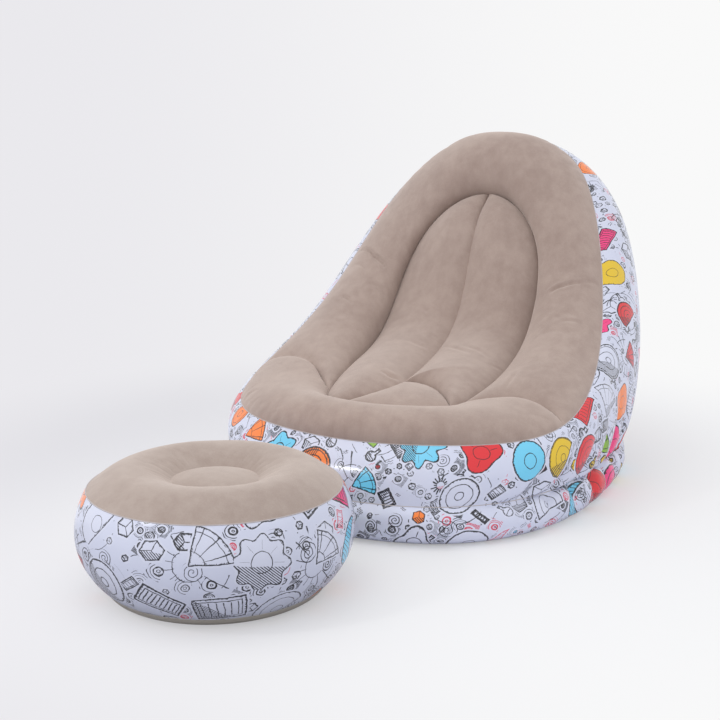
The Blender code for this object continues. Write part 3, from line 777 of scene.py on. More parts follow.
def let_air_in(piece):
    """Holds one slack sheet at its welds, with the air's pressure behind it."""
    mesh = piece.data
    held = np.empty(len(mesh.vertices), np.float32)
    mesh.attributes["held"].data.foreach_get("value", held)
    weld = piece.vertex_groups.new(name="weld")
    weld.add(np.flatnonzero(held > 0.5).tolist(), 1, "REPLACE")
    slack = np.empty(3 * len(mesh.vertices), np.float32)
    mesh.attributes["slack"].data.foreach_get("vector", slack)
    piece.shape_key_add(name="start")
    rest = piece.shape_key_add(name="slack")
    rest.data.foreach_set("co", slack)
    air = piece.modifiers.new("air", "CLOTH").settings
    air.quality = AIR_STEPS
    air.vertex_group_mass = "weld"
    air.rest_shape_key = rest
    air.tension_stiffness = SHEET_TENSION
    air.compression_stiffness = SHEET_TENSION
    air.shear_stiffness = SHEET_TENSION
    air.bending_stiffness = SHEET_BENDING
    air.air_damping = AIR_DAMPING
    air.use_pressure = True
    air.uniform_pressure_force = AIR_PRESSURE
    air.effector_weights.gravity = 0


def keep_blown(piece, blown):
    """Moves a sheet towards its blown-up points, by no more than the air may move it."""
    piece.modifiers.clear()
    piece.shape_key_clear()
    start = coordinates_of(piece.data)
    move = blown - start
    length = np.linalg.norm(move, axis=1)[:, None]
    move *= np.tanh(length / AIR_REACH) * AIR_REACH / np.maximum(length, TINY)
    piece.data.vertices.foreach_set("co", (start + move).astype(np.float32).ravel())
    piece.data.update()


def blow_up(pieces):
    """Blows up the flocked sheets, which are slack beside their welds, until they are tight between them."""
    for piece in pieces:
        let_air_in(piece)
    for step in range(1, AIR_FRAMES + 1):
        bpy.context.scene.frame_set(step)
    depsgraph = bpy.context.evaluated_depsgraph_get()
    results = [coordinates_of(piece.evaluated_get(depsgraph).data) for piece in pieces]
    for piece, blown in zip(pieces, results):
        keep_blown(piece, blown)
    bpy.context.scene.frame_set(1)


def coordinates_of(mesh):
    points = np.empty(3 * len(mesh.vertices), np.float32)
    mesh.vertices.foreach_get("co", points)
    return points.reshape(-1, 3)


# Valves' places, read from the solids that stay

def valve_place(name, stem, flange_thickness):
    """The middle of a valve in its sheet's outer face, and the direction out of it."""
    disc = np.unique(coordinates_of(frame["nodes"][name + "_flap"].data).round(6), axis=0)
    middle = disc.mean(axis=0)
    out = np.linalg.svd(disc - middle)[2][2]
    flange = coordinates_of(frame["nodes"][stem].data)
    out = out * np.sign((flange.mean(axis=0) - middle) @ out)
    face = (flange @ out).max() - flange_thickness / 2
    return middle + out * (face - middle @ out), out


def flatten(rows, place):
    """Lays a sheet flat round a valve, with its welded edges left where they are."""
    middle, out = place
    offset = rows - middle
    height = offset @ out
    away = np.linalg.norm(offset - height[:, :, None] * out, axis=2)
    share = ((VALVE_BLEND - away) / (VALVE_BLEND - VALVE_FLAT)).clip(0, 1) * (np.abs(height) < VALVE_BLEND)
    free = 1 - np.abs(np.linspace(-1, 1, len(rows))) ** VALVE_FREE_POWER
    return rows - out * (height * share ** 2 * (3 - 2 * share) * free[:, None])[:, :, None]


def cut_round_hole(piece, place, radius):
    middle, out = place
    mesh = bpy.data.meshes.new("cutter")
    shape = bmesh.new()
    turn = Vector(out).to_track_quat("Z", "Y").to_matrix().to_4x4()
    matrix = Matrix.Translation(middle) @ turn
    bmesh.ops.create_cone(shape, cap_ends=True, segments=HOLE_SIDES, radius1=radius, radius2=radius,
                          depth=VALVE_FLAT, matrix=matrix)
    shape.to_mesh(mesh)
    shape.free()
    cutter = bpy.data.objects.new("cutter", mesh)
    bpy.context.scene.collection.objects.link(cutter)
    hole = piece.modifiers.new("valve_hole", "BOOLEAN")
    hole.operation = "DIFFERENCE"
    hole.object = cutter
    settle(piece)
    bpy.data.objects.remove(cutter)


# Chair's printed sheets

def chair_turns(count):
    """Places round the chair from its back, where the printed strips are joined, to its back again."""
    return (turns_of(count) + 0.5) % 1


def waist_places(rows, up):
    """Print map of closed rows: along the waist from its middle front, and up from it."""
    waist = ring_at(chair_turns(rows.shape[1]), RING_TOP_ANGLE)
    along = lengths_along(np.concatenate([waist, waist[:1]]))
    along = along - along[-1] / 2
    up = np.concatenate([up, up[:, :1]], axis=1)
    return np.stack(np.broadcast_arrays(along, up), -1)


def build_ring():
    turns = chair_turns(WALL_STATIONS)
    rows = even_rows(ring_loft(turns), SEAM_CLEARANCE, SEAM_CLEARANCE, RING_ROWS)
    across = across_and_along(rows)[0]
    places = waist_places(rows, across - across[-1])
    rows = pucker(rows, True, VINYL_PUCKER, VINYL_PUCKER_LENGTH, VINYL_PUCKER_FADE, seed=1, start=False)
    rows = pucker(rows, True, fold_depth(turns), FOLD_LENGTH, RING_FOLD_FADE, FOLD_SEED + 1, start=False,
                  wave_of=fold_wave)
    valve = valve_place("ring_valve", "ring_valve_stem", STEM_FLANGE_THICKNESS)
    ring = sheet_mesh("ring_skin", [Patch(flatten(rows, valve), places=places)])
    piece = add_piece("ring_skin", ring, "chair", ["base_ring_skin"], PRINTED_VINYL)
    thicken(piece)
    cut_round_hole(piece, valve, STEM_HOLE_RADIUS)


def build_wall():
    turns = chair_turns(WALL_STATIONS)
    rows = even_rows(wall_loft(turns), SEAM_CLEARANCE, SEAM_CLEARANCE, WALL_ROWS)
    places = waist_places(rows, across_and_along(rows)[0])
    rows = pucker(rows, True, VINYL_PUCKER, VINYL_PUCKER_LENGTH, VINYL_PUCKER_FADE, seed=4)
    rows = pucker(rows, True, fold_depth(turns), FOLD_LENGTH, FOLD_FADE, FOLD_SEED, end=False,
                  wave_of=fold_wave)
    valve = valve_place("main_valve", "main_valve_socket", SCREW_FLANGE_THICKNESS)
    wall = sheet_mesh("printed_wall", [Patch(flatten(rows, valve), places=places)])
    piece = add_piece("printed_wall", wall, "chair", ["side_wall"], PRINTED_VINYL)
    thicken(piece)
    cut_round_hole(piece, valve, SCREW_HOLE_RADIUS)


# Chair's flocked sheets

def flocked_patch(rows, closed, seed, ends_held=True):
    """A patch with its small dents, and the slacker grid that it would rest at without air."""
    rows = waved(rows, closed, FLOCK_WAVE, FLOCK_WAVE_LENGTH, seed)
    slack = pucker(rows, closed, FLOCK_SLACK, FLOCK_PUCKER_LENGTH, FLOCK_PUCKER_FADE, seed)
    rows = pucker(rows, closed, FLOCK_PUCKER, FLOCK_PUCKER_LENGTH, FLOCK_PUCKER_FADE, seed)
    return Patch(rows, closed, slack, ends_held=ends_held)


def stretch_between(rows, starts, ends, columns):
    """The part of every closed row from one station to another, in a set number of columns."""
    count = rows.shape[1]
    part = np.empty((len(rows), columns, 3))
    for row, start, end, line in zip(rows, starts, ends, part):
        wanted = np.linspace(start, end, columns) / STATIONS * count
        for axis in range(3):
            line[:, axis] = np.interp(wanted, np.arange(count), row[:, axis], period=count)
        line[:] = shorten(line, CORNER_GAP / 2, CORNER_GAP / 2)
    return part


def build_rim():
    """The flocked horseshoe and the front bolster, parted at the two corner welds."""
    rows = even_rows(rim_loft(turns_of(STATIONS * FINENESS)), SEAM_CLEARANCE, CREASE_GAP, RIM_ROWS)
    right, left = zip(*(corner_stations(share) for share in np.linspace(0, 1, len(rows))))
    left_ends = [STATIONS - station for station in left]
    rim = stretch_between(rows, right, left_ends, (STATIONS - 2 * CORNER_STATION) * FINENESS + 1)
    columns = (math.ceil(max(CORNER_RIGHT)) + math.ceil(max(CORNER_LEFT))) * FINENESS + 1
    bolster = stretch_between(rows, [-station for station in left], right, columns)
    lines = [(crease_line(rim, places), depth, width) for places, depth, width in RIM_CREASES]
    parts = (
        ("flocked_rim", rim, "rim_panel", 2, lines),
        ("flocked_bolster", bolster, "front_bolster", 5, []),
    )
    pieces = []
    for name, part, node, seed, creases in parts:
        mesh = sheet_mesh(name, [flocked_patch(part, False, seed)])
        pieces.append((add_piece(name, mesh, "chair", [node], CHAIR_FLOCK), creases))
    return pieces


def build_dish():
    lofts = dish_lofts(STATIONS * FINENESS, FINE_FORKS)
    patches = [flocked_patch(rows, False, seed) for rows, seed in zip(lofts, (3, 6, 8))]
    mesh = sheet_mesh("flocked_dish", patches)
    lines = [(crease_line(rows, places), depth, width)
             for rows, creases in zip(lofts, DISH_CREASES) for places, depth, width in creases]
    return add_piece("flocked_dish", mesh, "chair", ["dish_panel"], CHAIR_FLOCK), lines


# Chair's plain sheets and welds

def plain_sheet(name, rows, body, nodes, material, closed=True):
    thicken(add_piece(name, sheet_mesh(name, [Patch(rows, closed)]), body, nodes, material))


def build_floor_sheet():
    turns = turns_of(WALL_STATIONS)
    edge = ring_at(turns, -math.pi / 2) + (0, 0, SHEET)
    inner = edge - outward_of(edge) * SEAM_CLEARANCE
    shares = np.linspace(1, 0, FLOOR_ROWS)[:, None, None]
    rows = inner * shares + np.array((0, 0, SHEET)) * (1 - shares)
    plain_sheet("floor_sheet", rows, "chair", ["base_panel"], BASE_VINYL)


def hanging_rows(top, floor):
    bottom = top.copy()
    bottom[:, 2] = floor
    return np.linspace(bottom, top, WEB_ROWS)


def build_inner_sheets():
    """The sheets inside that hold the dish's seams down and close off the base ring."""
    count = STATIONS * FINENESS
    turns = turns_of(count)
    floor = SHEET + GAP
    drop = np.array((0, 0, WEB_DROP))
    plain_sheet("outline_sheet", hanging_rows(dish_outline(turns) - drop, floor), "chair",
                ["outline_web"], WEB_VINYL)
    seam, right, left = dish_seams(count, FINE_FORKS)
    step = tangent_of(seam, closed=False)
    seam = seam + np.stack([np.zeros(len(seam)), step[:, 2], -step[:, 1]], -1) * WEB_DROP
    for name, line in (("centre", seam), ("right_fork", right - drop), ("left_fork", left - drop)):
        rows = hanging_rows(shorten(line, WEB_DROP, WEB_DROP), floor)
        plain_sheet(name + "_sheet", rows, "chair", [name + "_web"], WEB_VINYL, closed=False)
    waist = ring_at(turns, RING_TOP_ANGLE)
    plan, outward = ring_outline(turns)
    foot = plan - outward * DIVIDER_INSET + (0, 0, floor)
    lean = foot - waist
    top = waist + lean / np.linalg.norm(lean, axis=1)[:, None] * WEB_DROP
    rows = np.linspace(foot, top, WEB_ROWS)
    plain_sheet("divider_sheet", rows, "chair", ["ring_divider"], WEB_VINYL)


def build_chair_welds():
    turns = turns_of(WALL_STATIONS)
    low = ring_at(turns, -math.pi / 2) + (0, 0, BEAD_RADIUS)
    add_bead("floor_weld", low, "chair", ["base_seam_weld"], WELD_VINYL)
    add_bead("waist_weld", ring_at(turns, RING_TOP_ANGLE), "chair", ["waist_seam_weld"], WELD_VINYL)
    add_bead("top_weld", top_seam(turns), "chair", ["top_seam_weld"], WELD_VINYL)


# Footstool

def from_back(rows):
    """The same closed rows, begun at the footstool's back, where its printed strip is joined."""
    return np.roll(rows, STOOL_FINE // 2, axis=1)


def stool_turned(profile, gap_low, gap_high, rows):
    return even_rows(from_back(turned_rows(profile)), gap_low, gap_high, rows)


def build_stool_wall():
    line = arch_profile(STOOL_BASE, STOOL_SEAM, STOOL_WALL_SWELL, STOOL_WALL_FULLNESS)
    rows = stool_turned(line, SEAM_CLEARANCE, SEAM_CLEARANCE, STOOL_WALL_ROWS)
    up = across_and_along(rows)[0]
    up = np.concatenate([up, up[:, :1]], axis=1)
    along = (np.arange(STOOL_FINE + 1) / STOOL_FINE - 0.5) * 2 * math.pi * STOOL_SEAM[0]
    places = np.stack(np.broadcast_arrays(along, up), -1) + STOOL_PRINT_START
    rows = pucker(rows, True, VINYL_PUCKER, VINYL_PUCKER_LENGTH, VINYL_PUCKER_FADE, seed=7)
    valve = valve_place("footstool_valve", "footstool_valve_stem", STEM_FLANGE_THICKNESS)
    mesh = sheet_mesh("stool_wall", [Patch(flatten(rows, valve), places=places)])
    piece = add_piece("stool_wall", mesh, "footstool", ["footstool_wall"], PRINTED_VINYL)
    thicken(piece)
    cut_round_hole(piece, valve, STEM_HOLE_RADIUS)


def build_stool_top():
    line = arch_profile(STOOL_SEAM, STOOL_WELD, STOOL_CROWN, 1)
    crown = stool_turned(line, SEAM_CLEARANCE, 0, STOOL_CROWN_ROWS)
    shares = np.linspace(1, 0, STOOL_DOME_ROWS + 1)
    dome = [(STOOL_WELD[0] * s, STOOL_WELD[1] + STOOL_DOME * (1 - s ** 2)) for s in shares]
    patches = [flocked_patch(crown, True, seed=9, ends_held=False), Patch(from_back(turned_rows(dome)))]
    mesh = sheet_mesh("stool_top", patches)
    return add_piece("stool_top", mesh, "footstool", ["footstool_top"], STOOL_FLOCK_PAINTED_LIGHTER), []


def build_stool_pan():
    """The plain floor sheet, whose edge curls up to the base weld."""
    run = STOOL_BASE[0] - STOOL_FLOOR_RADIUS
    angles = np.linspace(0, math.pi / 2, DENSE_STEPS)
    curl = [(STOOL_FLOOR_RADIUS + run * math.cos(a), STOOL_BASE[1] * (1 - math.sin(a))) for a in angles]
    rows = stool_turned(curl, SEAM_CLEARANCE, 0, STOOL_PAN_ROWS)
    floor = turned_rows([(STOOL_FLOOR_RADIUS * share, 0) for share in np.linspace(1, 0, FLOOR_ROWS)[1:]])
    rows = np.concatenate([rows, from_back(floor)])[::-1]
    plain_sheet("stool_pan", rows, "footstool", ["footstool_base_panel"], BASE_VINYL)


def build_stool_inside_and_welds():
    floor = SHEET + GAP
    heights = np.linspace(floor, STOOL_WELD[1] - WEB_DROP, WEB_ROWS)
    web = turned_rows([(STOOL_WELD[0], height) for height in heights])
    plain_sheet("stool_tube", web, "footstool", ["footstool_web"], WEB_VINYL)
    top = turned_rows([STOOL_SEAM])[0]
    base = turned_rows([STOOL_BASE])[0]
    add_bead("stool_top_weld", top, "footstool", ["footstool_top_weld"], WELD_VINYL)
    add_bead("stool_base_weld", base, "footstool", ["footstool_base_weld"], BASE_WELD)


# Paint: expressions on values over a surface

class Wire:
    """One value over a surface; arithmetic on it adds the nodes that work it out."""

    def __init__(self, paint, socket):
        self.paint = paint
        self.socket = socket

    def _math(self, operation, *values):
        return self.paint.math(operation, *values)

    def __add__(self, other):
        return self._math("ADD", self, other)

    def __sub__(self, other):
        return self._math("SUBTRACT", self, other)

    def __mul__(self, other):
        return self._math("MULTIPLY", self, other)

    def __truediv__(self, other):
        return self._math("DIVIDE", self, other)

    def __rsub__(self, other):
        return self._math("SUBTRACT", other, self)

    def __neg__(self):
        return self._math("MULTIPLY", self, -1)

    def __abs__(self):
        return self._math("ABSOLUTE", self)

    def __lt__(self, other):
        return self._math("LESS_THAN", self, other)

    def __gt__(self, other):
        return self._math("GREATER_THAN", self, other)

    __radd__ = __add__
    __rmul__ = __mul__


class Nodes:
    """A node tree, and short ways to add nodes to it."""

    def __init__(self, tree):
        self.tree = tree

    def node(self, kind, settings=None, inputs=None):
        """Adds a node of a type, with its settings first and then its sockets' values or links."""
        node = self.tree.nodes.new("ShaderNode" + kind)
        for name, value in (settings or {}).items():
            setattr(node, name, value)
        for name, value in (inputs or {}).items():
            self.feed(node.inputs[name], value)
        return node

    def feed(self, socket, value):
        if isinstance(value, Wire):
            self.tree.links.new(value.socket, socket)
        else:
            socket.default_value = value

    def wire(self, node, output=0):
        return Wire(self, node.outputs[output])

    def math(self, operation, *values):
        return self.wire(self.node("Math", {"operation": operation}, dict(enumerate(values))))

    def vector(self, operation, *values, output=0):
        node = self.node("VectorMath", {"operation": operation}, dict(enumerate(values)))
        return self.wire(node, output)

    def join(self, x, y, z=0):
        return self.wire(self.node("CombineXYZ", None, {"X": x, "Y": y, "Z": z}))

    def split(self, vector):
        node = self.node("SeparateXYZ", None, {"Vector": vector})
        return [self.wire(node, i) for i in range(3)]

    def mix(self, share, first, second):
        """From one number to another."""
        return first + (second - first) * share

    def dye(self, share, first, second):
        """From one colour to another, through the colour sockets of a Mix node."""
        node = self.node("Mix", {"data_type": "RGBA"}, {0: share, 6: first, 7: second})
        return self.wire(node, 2)

    def noise(self, place, scale, detail=2, roughness=0.5):
        inputs = {"Vector": place, "Scale": scale, "Detail": detail, "Roughness": roughness}
        return self.wire(self.node("TexNoise", None, inputs))

    def chance(self, place):
        """Random number and random colour of a place."""
        node = self.node("TexWhiteNoise", {"noise_dimensions": "3D"}, {"Vector": place})
        return self.wire(node, 0), self.wire(node, 1)

    def ramp(self, value, low, high):
        """Smoothly from 0 at low to 1 at high."""
        settings = {"interpolation_type": "SMOOTHSTEP"}
        inputs = {"Value": value, "From Min": low, "From Max": high}
        return self.wire(self.node("MapRange", settings, inputs))

    def bump(self, height, distance, strength=1):
        inputs = {"Height": height, "Distance": distance, "Strength": strength}
        return self.wire(self.node("Bump", None, inputs))

    def seen(self):
        """One where the camera sees a thing itself, or through something clear."""
        path = self.node("LightPath")
        return self.math("MAXIMUM", self.wire(path, "Is Camera Ray"), self.wire(path, "Is Transmission Ray"))

    def blend(self, share, first, second, output):
        """Shows the first node's light where the share is 0 and the second one's where it is 1."""
        both = self.node("MixShader", None, {0: share})
        for i, source in enumerate((first, second), start=1):
            self.tree.links.new(source.outputs[0], both.inputs[i])
        self.tree.links.new(both.outputs[0], self.tree.nodes[output].inputs["Surface"])


class Paint(Nodes):
    """One material, its shader and the nodes that feed it."""

    def __init__(self, name, **constants):
        self.material = bpy.data.materials.new(name)
        self.material.use_nodes = True
        super().__init__(self.material.node_tree)
        self.shader = self.tree.nodes["Principled BSDF"]
        for socket, value in constants.items():
            self.shader.inputs[socket.replace("_", " ")].default_value = value

    def lay(self, **sockets):
        for name, value in sockets.items():
            self.feed(self.shader.inputs[name.replace("_", " ")], value)
        return self.material


def colour(red, green, blue):
    """A screen colour, 0 to 255, as the light that it stands for."""
    shares = (level / 255 for level in (red, green, blue))
    return (*(s / 12.92 if s <= 0.04045 else ((s + 0.055) / 1.055) ** 2.4 for s in shares), 1)


# Flock: short nap on vinyl, brushed into cloudy patches

FLOCK_SHEEN = colour(225, 214, 206)
BRUSH_STRETCH = (1, 1, 0.55)
FLOCK_NAP = 0.0007
FLOCK_TONE_SHARES = (0.8, 0.8, 0.4)
FLOCK_HEIGHT_SHARES = (0.25, 0.35, 0.4)


def flock(name, pale, dark):
    paint = Paint(name, Roughness=0.95, Sheen_Weight=0.8, Sheen_Roughness=0.55, Sheen_Tint=FLOCK_SHEEN,
                  Specular_IOR_Level=0.25)
    place = paint.wire(paint.node("TexCoord"), "Object")
    clouds = paint.noise(place, scale=7, detail=3, roughness=0.55)
    brushed = paint.noise(paint.vector("MULTIPLY", place, BRUSH_STRETCH), scale=38, detail=4, roughness=0.6)
    nap = paint.noise(place, scale=420, roughness=0.6)
    fibres = paint.noise(place, scale=1500, detail=1)
    level = 0.5
    for noise, share in zip((clouds, brushed, nap), FLOCK_TONE_SHARES):
        level = level + (noise - 0.5) * share
    tone = paint.dye(paint.ramp(level, 0.1, 0.9), dark, pale)
    brush_share, nap_share, fibre_share = FLOCK_HEIGHT_SHARES
    height = brushed * brush_share + nap * nap_share + fibres * fibre_share
    return paint.lay(Base_Color=tone, Normal=paint.bump(height, FLOCK_NAP, strength=0.55))


# Plain vinyl: a fine grain, and slow changes of tone and gloss

VINYL_GRAIN = 0.00005
VINYL_SHADE_SHARE = 0.94
VINYL_ROUGHNESS_SPREADS = (0.08, 0.04)


def plain_vinyl(name, pale, roughness, coat=0.0):
    paint = Paint(name, Coat_Weight=coat)
    place = paint.wire(paint.node("TexCoord"), "Object")
    slow = paint.noise(place, scale=9, detail=3)
    fine = paint.noise(place, scale=900)
    shade = tuple(VINYL_SHADE_SHARE * level for level in pale[:3]) + (1,)
    tone = paint.dye(paint.ramp(slow, 0.3, 0.7), shade, pale)
    slow_spread, fine_spread = VINYL_ROUGHNESS_SPREADS
    rough = roughness + (slow - 0.5) * slow_spread + (fine - 0.5) * fine_spread
    return paint.lay(Base_Color=tone, Roughness=rough, Normal=paint.bump(fine, VINYL_GRAIN))


# Doodle print: hand-drawn motifs, some of them coloured, scattered over several sizes of field

INK = colour(28, 28, 34)
RED_INK = colour(206, 62, 88)
PAPER = colour(211, 214, 231)
PAPER_SHADE = colour(203, 207, 227)
MARKERS = (colour(221, 40, 48), colour(246, 128, 44), colour(226, 190, 40), colour(139, 186, 58),
           colour(112, 203, 236), colour(221, 40, 48), colour(240, 62, 130), colour(246, 128, 44))

# Draws of each field: its smallest motif, its turn in radians, where its second draw is read, and how softly
# its lines end
SMALLEST_SHARE = 0.62
MOTIF_TURN = 2.2
SECOND_DRAW = (17.3, 5.1, 9.7)
LINE_END = 0.02


class Field:
    """One size of square field of the print, each with one motif, turned and placed at random."""

    def __init__(self, paint, place, size, seed, lean, drift, reach):
        self.paint = paint
        self.size = size
        spot = paint.vector("SCALE", place)
        spot.socket.node.inputs["Scale"].default_value = 1 / size
        along, up, _ = paint.split(spot)
        cosine, sine = math.cos(lean), math.sin(lean)
        column, row = along * cosine - up * sine, along * sine + up * cosine
        shift = paint.chance(paint.join(paint.math("FLOOR", row), seed, 1))[0]
        column = column + shift
        whole_column, whole_row = paint.math("FLOOR", column), paint.math("FLOOR", row)
        cell = paint.join(whole_column, whole_row, seed)
        self.kind, mixed = paint.chance(cell)
        self.luck, self.turn, self.swell = paint.split(mixed)
        self.other, shifted = paint.chance(paint.vector("ADD", cell, SECOND_DRAW))
        across, rise, self.tint = paint.split(shifted)
        middle_column, middle_row = whole_column + 0.5 - shift, whole_row + 0.5
        self.along = (middle_column * cosine + middle_row * sine) * size
        self.up = (middle_row * cosine - middle_column * sine) * size
        x = column - whole_column - 0.5 + (across - 0.5) * drift
        y = row - whole_row - 0.5 + (rise - 0.5) * drift
        size_share = reach * paint.mix(self.swell, SMALLEST_SHARE, 1)
        angle = (self.turn - 0.5) * MOTIF_TURN - lean
        cosine, sine = paint.math("COSINE", angle), paint.math("SINE", angle)
        self.x = (x * cosine - y * sine) / size_share
        self.y = (x * sine + y * cosine) / size_share
        self.scale = size_share * size
        self.radius = self.length(self.x, self.y)
        self.angle = paint.math("ARCTAN2", self.y, self.x)

    def length(self, x, y):
        return self.paint.math("SQRT", x * x + y * y)

    def stripes(self, value, count):
        """Distance from evenly spaced lines, count of them to a unit of the value."""
        return abs(self.paint.math("FRACT", value * count) - 0.5) / count

    def nearest(self, *distances):
        result = distances[0]
        for distance in distances[1:]:
            result = self.paint.math("MINIMUM", result, distance)
        return result

    def within(self, *edges):
        result = edges[0]
        for edge in edges[1:]:
            result = self.paint.math("MAXIMUM", result, edge)
        return result

    def beyond(self, value, limit):
        """Takes lines away where a value is past its limit."""
        return self.paint.ramp(value, limit, limit + LINE_END)


# Motifs: each gives the distance outside its edge and that from its inner lines, in shares of its reach

NO_EDGE = 1
RIM = 0.95


def flower(field):
    """Petals round a heart, each flower with its own count of them."""
    paint = field.paint
    heart, vein_start, vein_end = 0.36, 0.42, 0.75
    count = paint.math("FLOOR", paint.mix(field.other, 3, 9))
    depth = paint.mix(field.tint, 0.06, 0.20)
    edge = field.radius - (1 - depth + depth * paint.math("COSINE", field.angle * count))
    veins = abs(paint.math("SINE", field.angle * count * 0.5)) * field.radius
    veins = veins + field.beyond(field.radius, vein_end) + field.beyond(-field.radius, -vein_start)
    return edge, field.nearest(abs(field.radius - heart), veins)


def target(field):
    """A round with rings in it."""
    return field.radius - RIM, field.stripes(field.radius, field.paint.mix(field.other, 1.4, 3.2))


def striped_slab(field):
    """A slab with a frame and bars inside."""
    half_long, frame, bar_end = 0.9, 0.14, 0.2
    half_high = field.paint.mix(field.other, 0.34, 0.70)
    edge = field.within(abs(field.x) - half_long, abs(field.y) - half_high)
    bars = field.stripes(field.x, field.paint.mix(field.tint, 2, 6)) + field.beyond(edge, -bar_end)
    return edge, field.nearest(bars, abs(edge + frame))


def leaf(field):
    """A pointed leaf with a rib and slanting veins."""
    steepness, slant, veins = 0.8, 0.8, 3.4
    half_wide = field.paint.mix(field.other, 0.3, 0.55)
    rib = abs(field.y)
    edge = (rib - half_wide * (1 - field.x * field.x)) * steepness
    return edge, field.nearest(rib, field.stripes(field.x + rib * slant, veins))


def cube(field):
    """A box seen from a corner: a hexagon and three spokes."""
    paint = field.paint
    sector, half_wide = math.pi / 3, 0.82
    within = paint.math("PINGPONG", field.angle, sector / 2)
    edge = field.radius * paint.math("COSINE", within) - half_wide
    spokes = abs(paint.math("PINGPONG", field.angle + math.pi / 2, sector)) * field.radius
    return edge, spokes


def spiral(field):
    """A line that winds outwards, with no edge of its own."""
    winds, end = 3, 0.9
    turns = field.radius * winds - field.angle / (2 * math.pi)
    return NO_EDGE, field.stripes(turns, 1) / winds + field.beyond(field.radius, end)


def ripples(field):
    """A few wavy lines, with no edge of their own."""
    waves, height, half_long, half_high = 7, 0.12, 0.9, 0.5
    sway = field.paint.math("SINE", field.x * waves) * height
    line = field.stripes(field.y + sway, field.paint.mix(field.other, 1.6, 3.0))
    return NO_EDGE, line + field.beyond(abs(field.x), half_long) + field.beyond(abs(field.y), half_high)


def crescent(field):
    """A striped moon."""
    half_wide, bite_place, bite_radius, stripes = 0.9, 0.5, 0.75, 5
    bite = field.length(field.x - bite_place, field.y)
    edge = field.within(field.radius - half_wide, bite_radius - bite)
    return edge, field.stripes(field.x + field.y, stripes)


def half_round(field):
    """A half disc with arches in it."""
    foot = 0.35
    edge = field.within(field.radius - RIM, -foot - field.y)
    return edge, field.stripes(field.radius, field.paint.mix(field.other, 1.6, 3.6))


def fan(field):
    """A fan with ribs and two bands."""
    paint = field.paint
    pivot, reach, half_angle, rib_start, rib_scale = 0.7, 1.5, 0.65, 0.5, 0.12
    inner_band, outer_band = 0.55, 1.3
    x = field.x + pivot
    radius = field.length(x, field.y)
    angle = paint.math("ARCTAN2", field.y, x)
    edge = field.within(radius - reach, (abs(angle) - half_angle) * radius)
    ribs = abs(paint.math("SINE", angle * paint.mix(field.other, 6, 12))) * rib_scale
    bands = abs(radius - inner_band), abs(radius - outer_band)
    return edge, field.nearest(ribs + field.beyond(-radius, -rib_start), *bands)


def rays(field):
    """A burst of strokes of unlike length round an open middle, with no edge of its own."""
    paint = field.paint
    count, middle, spacing, width, shortest = 15, 0.32, 0.4, 0.02, 0.5
    turn = field.angle * (count / (2 * math.pi))
    length = paint.mix(paint.chance(paint.join(paint.math("FLOOR", turn), field.luck))[0], shortest, 1)
    line = abs(paint.math("FRACT", turn) - 0.5) * field.radius * spacing - width
    return NO_EDGE, line + field.beyond(-field.radius, -middle) + field.beyond(field.radius - length, 0)


def crayon(field):
    """A long stick with a pointed tip."""
    half_thick, tip, tip_slope, foot = 0.24, 0.95, 0.5, 0.9
    collar, band, stripe_scale = 0.46, 0.7, 0.8
    half = field.nearest((tip - field.x) * tip_slope, half_thick)
    edge = field.within(abs(field.y) - half, -foot - field.x)
    side = abs(field.y) * stripe_scale + field.beyond(field.x, collar)
    return edge, field.nearest(side, abs(field.x - collar), abs(field.x + band))


def flask(field):
    """A round jar with a neck and a waterline."""
    belly, belly_radius, neck_half, neck_middle, neck_length = 0.3, 0.6, 0.2, 0.5, 0.42
    lip, glass = 0.72, 0.1
    body = field.length(field.x, field.y + belly) - belly_radius
    neck = field.within(abs(field.x) - neck_half, abs(field.y - neck_middle) - neck_length)
    water = abs(field.y + belly) + field.beyond(body, -glass)
    return field.nearest(body, neck), field.nearest(water, abs(field.y - lip))


def drawn(field, motifs):
    """Edge and line distances of the motif that a field drew, in metres."""
    edge, line = motifs[0](field)
    for i, motif in enumerate(motifs[1:], start=1):
        chosen = field.kind > i / len(motifs)
        next_edge, next_line = motif(field)
        edge = field.paint.mix(chosen, edge, next_edge)
        line = field.paint.mix(chosen, line, next_line)
    return edge * field.scale, line * field.scale


# Ink: blur of a motif's edge, margin of blank paper round it, and how thick and dark the pen draws
EDGE_BLUR = 0.0004
PAPER_MARGIN = (-0.006, -0.004)
WEIGHT_BY_MOTIF = (0.7, 1.6)
WEIGHT_BY_PEN = (0.7, 1.3)
DARKNESS_BY_PEN = (0.65, 1.35)

# Strokes, each with the shares of the pen's weight at which its ink is full and gone
OUTLINE = (0.6, 1.2)
SECOND_OUTLINE = (0.2, 0.7)
DETAIL = (0.3, 0.9)
HATCHING = (0.5, 1)

# Second outline: how far it strays, where it crosses the first, and how dark it is
SECOND_STRAY = 0.008
SECOND_CROSSING = 0.35
SECOND_SHARE = 0.8

# Hatching: lines to a metre, their width, where in a motif it ends, and the draw from which a motif has it
HATCH_LINES = 190
HATCH_WIDTH = 0.0016
HATCH_END = -0.2
HATCH_FROM = 0.55

# Share of a field past which a motif counts as one without an edge, and the draws that are in red ink
OPEN_LINE_SHARE = 0.18
RED_PEN_FROM = 0.88
RED_PEN_SPREAD = 7
RED_PEN_FILLED = 0.5


def stroke(paint, distance, weight, shares):
    """Ink along a line: full within one share of its weight, gone at another."""
    return 1 - paint.ramp(distance, weight * shares[0], weight * shares[1])


